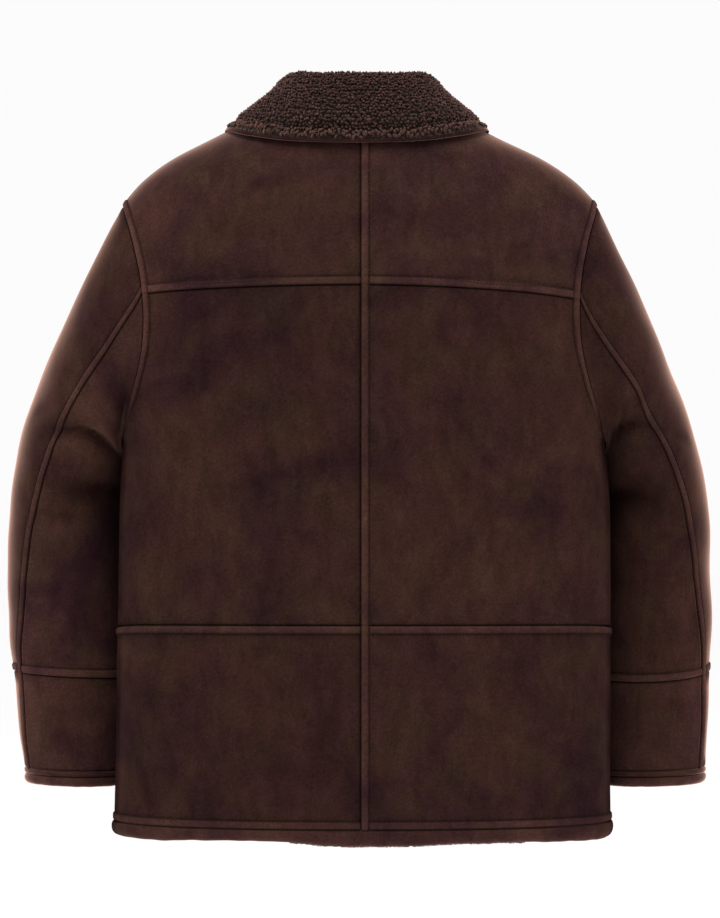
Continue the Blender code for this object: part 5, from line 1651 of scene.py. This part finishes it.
def make_collar():
    """One skin, wool outside: a suede face, a woolly face, and curls all over the latter."""
    turns = np.linspace(-COLLAR_END_TURN, COLLAR_END_TURN, 241)
    middle, through = collar_lines(turns)
    normal = grid_normals(middle)
    count = middle.shape[1]
    half = np.full(count, COLLAR_SKIN / 2)
    half[-3:] = (COLLAR_SKIN / 2.3, COLLAR_SKIN / 2.8, COLLAR_SKIN / 3.6)
    dent = np.zeros(count)
    dent[-9:-5] = (1.0, 2.4, 2.4, 0.7)
    corner = hump(np.abs(turns) - COLLAR_CORNER_TURN, 17.0)[:, None]
    corner = corner * ease(np.linspace(-1.2, 1, count))
    half = half * (1 - 0.56 * corner)
    wool = middle + normal * (half - 2.0 - dent)[..., None]
    suede = middle - normal * half[..., None]
    wool[:, 0] = middle[:, 0] + through / 2
    suede[:, 0] = middle[:, 0] - through / 2
    columns, rows = middle.shape[:2]
    total = columns * rows
    points = np.concatenate((wool.reshape(-1, 3), suede.reshape(-1, 3)))
    front = flat_grid(columns, rows)
    back = flat_grid(columns, rows, total, flip=True)
    edge = rim_faces(columns, rows)
    which = np.repeat((1, 0, 0), (len(front), len(back), len(edge)))
    near_edge = np.tile(np.arange(rows - 1) >= rows - 3, columns - 1)
    which[:len(front)][near_edge] = 0
    mark = np.full(total, 0.1)
    marks = {"tone_and_shade": np.concatenate((mark, np.full(total, 0.0))), "edge_sheen": np.full(2 * total, 0.5)}
    faces = np.concatenate((front, back, edge))
    made = make_piece(
        "collar_skin", points, faces, (SUEDE, MAT), which, marks, nodes=("collar",)
    )
    width = walked(middle, 0)[-1].max()
    length = walked(middle, 1)[:, -1].max()
    area = round(grid_area(middle) * MM * MM, 5)
    wool_curls("collar_curls_stand", wool[:, 1:14], normal[:, 1:14], 11)
    wool_curls("collar_curls_fall", wool[:, 13:-6], normal[:, 13:-6], 12)
    wool_fringe("collar_curls_edge", wool[:, -7:-2], normal[:, -7:-2], 13)


# ------------------------------------------------------------------ buttons
def make_button(number, drop):
    """A turned button with a sunk middle, sewn on with two bars of thread."""
    point = torso_point(180.0, drop)
    normal = torso_normal(180.0, drop)
    level = np.array((1.0, 0.0, 0.0))
    across = unit(level - normal * np.dot(level, normal))
    upright = np.cross(normal, across)
    profile = np.array([(spot.radius, spot.height) for spot in BUTTON_PROFILE])
    turns = np.radians(np.arange(0, 360, 7.5))
    ways = across * np.cos(turns)[:, None] + upright * np.sin(turns)[:, None]
    points = point + ways[:, None, :] * profile[None, :, :1] + normal * profile[None, :, 1:]
    count, size = points.shape[:2]
    i, j = np.meshgrid(np.arange(count), np.arange(size - 1), indexing="ij")
    ahead = (i + 1) % count
    faces = np.stack((i * size + j, ahead * size + j, ahead * size + j + 1, i * size + j + 1), -1)
    faces = faces.reshape(-1, 4)
    node = f"button_{number}"
    make_piece(
        node + "_turned", points.reshape(-1, 3), faces, (HORN,), None, None, nodes=(node,)
    )
    middles = np.array([point + normal * 4.4 + upright * y
                        for y in (-BUTTON_HOLE_OFFSET, BUTTON_HOLE_OFFSET)])
    ways = np.array([across, across])
    outs = np.array([normal, normal])
    ones = np.ones(2)
    grains(node + "_thread", middles, ways, outs, ones * 2.9, ones * 0.9, ones * 0.8, THREAD)


# ------------------------------------------------------------------ build
PANELS = {}
MAKERS = {
    "yoke": yoke_panel,
    "back": back_panel,
    "back_skirt": back_skirt_panel,
    "front": front_panel,
    "sleeve_outer": lambda side: sleeve_panel(side, "outer"),
    "sleeve_under": lambda side: sleeve_panel(side, "under"),
    "cuff_outer": lambda side: cuff_panel(side, "outer"),
    "cuff_under": lambda side: cuff_panel(side, "under"),
}
for number, (name, maker) in enumerate(MAKERS.items()):
    for side in (-1, 1):
        full = f"{name}_{side_name(side)}"
        PANELS[full] = maker(side)
        PANELS[full].make(full, 40 + 4 * number + side)

make_collar()
for number, drop in enumerate(BUTTON_DROPS, 1):
    make_button(number, drop)

for side in (-1, 1):
    which = side_name(side)
    start = float(centre_back(PANEL_HEM_DROP))
    back_roll = hem_roll(
        "hem_back_" + which, np.linspace(start, side * 90.0, 12), lambda a, b: 0.0 * a
    )
    hem_roll("hem_front_" + which, hem_front_angles(side), underlay(side, HEM_UNDERLAY))
    cuff_roll(side)
    x = back_roll[:, 0, 0]
    part = (x > HEM_CURLS_LEFT_END) & (x < HEM_CURLS_RIGHT_END)
    strip = back_roll[part][:, HEM_LOWER_EDGE]
    facing = grid_normals(strip)
    middle = back_roll[part].mean(axis=1)[:, None, :]
    facing = facing * np.where(dot(facing, strip - middle) < 0, -1.0, 1.0)[..., None]
    strip = strip - facing * 1.3
    wool_curls(
        f"hem_curls_{which}", strip, facing, 70 + side, HEM_CURL_PITCH, HEM_CURL_SIZE, tone=0.5
    )

ARMHOLE_SEWN = 0.33          # share of a body panel's side that has the armhole's band
BAND_ROWS = {
    "yoke": ("bottom", "right", "left"),
    "back": ("right", "left"),
    "back_skirt": ("top", "bottom", "left"),
    "front": ("right", "bottom", "left"),
    "sleeve_outer": ("right", "bottom"),
    "sleeve_under": ("bottom",),
    "cuff_outer": ("right",),
}
for name, edges in BAND_ROWS.items():
    for side in (-1, 1):
        panel = PANELS[f"{name}_{side_name(side)}"]
        rows = []
        for edge in edges:
            if edge in panel.bands:
                fading = edge == "right" and name in ("back", "front")
                rows.append(band_stitches(panel, edge, ARMHOLE_SEWN if fading else 1.0))
        sew(f"{name}_stitches_{side_name(side)}", rows)


# ------------------------------------------------------------------ floor, light, camera
# Sizes in metres from here on.  The floor is at the height of a standing wearer's feet.
FLOOR_HALF = 30.0
FLOOR_LEVEL = -1.5
WALL_GLOW = 0.97
CAMERA_PLACE = (-0.0016, -3.5, -0.355)
LENS = 131.7
Lamp = namedtuple("Lamp", "name place target size power")
LAMPS = [
    Lamp("key", (-0.5, -1.2, 2.8), (0.0, 0.0, -0.2), (2.0, 1.6), 220.0),
    Lamp("left_rim", (-2.6, 0.35, 0.1), (-0.2, 0.0, -0.4), (1.2, 2.2), 95.0),
    Lamp("right_rim", (2.6, 0.35, 0.1), (0.2, 0.0, -0.4), (1.2, 2.2), 95.0),
]


def make_floor():
    """Floor of rolled matt white paint, even and without shine."""
    mesh = bpy.data.meshes.new("floor")
    half, low = FLOOR_HALF, FLOOR_LEVEL
    corners = [(-half, -half, low), (half, -half, low), (half, half, low), (-half, half, low)]
    mesh.from_pydata(corners, [], [(0, 1, 2, 3)])
    floor = bpy.data.objects.new("floor", mesh)
    bpy.context.scene.collection.objects.link(floor)
    made, tree, shader = new_material("matt_white_floor", "#fefefe", 0.9)
    set_sockets(tree, shader, {"Specular IOR Level": 0.1})
    mesh.materials.append(made)


def make_light(lamp):
    """A large soft box turned towards the coat."""
    light = bpy.data.lights.new(lamp.name, "AREA")
    light.shape = "RECTANGLE"
    light.size, light.size_y = lamp.size
    light.energy = lamp.power
    made = bpy.data.objects.new(lamp.name, light)
    made.location = lamp.place
    aim = Vector(lamp.target) - Vector(lamp.place)
    made.rotation_euler = aim.to_track_quat("-Z", "Y").to_euler()
    bpy.context.scene.collection.objects.link(made)


def make_surround():
    """White studio walls, seen as an even pale ground and lighting the coat all round."""
    world = bpy.data.worlds.new("white_studio")
    world.use_nodes = True
    ground = world.node_tree.nodes["Background"]
    ground.inputs["Color"].default_value = (1.0, 1.0, 1.0, 1.0)
    ground.inputs["Strength"].default_value = WALL_GLOW
    bpy.context.scene.world = world


def make_camera():
    lens = bpy.data.cameras.new("camera")
    lens.sensor_fit = "AUTO"
    lens.sensor_width = 36.0
    lens.lens = LENS
    camera = bpy.data.objects.new("camera", lens)
    camera.location = CAMERA_PLACE
    camera.rotation_euler = (np.pi / 2, 0.0, 0.0)
    bpy.context.scene.collection.objects.link(camera)
    bpy.context.scene.camera = camera


make_floor()
make_surround()
for lamp in LAMPS:
    make_light(lamp)
make_camera()
bpy.context.scene.view_settings.view_transform = "Standard"
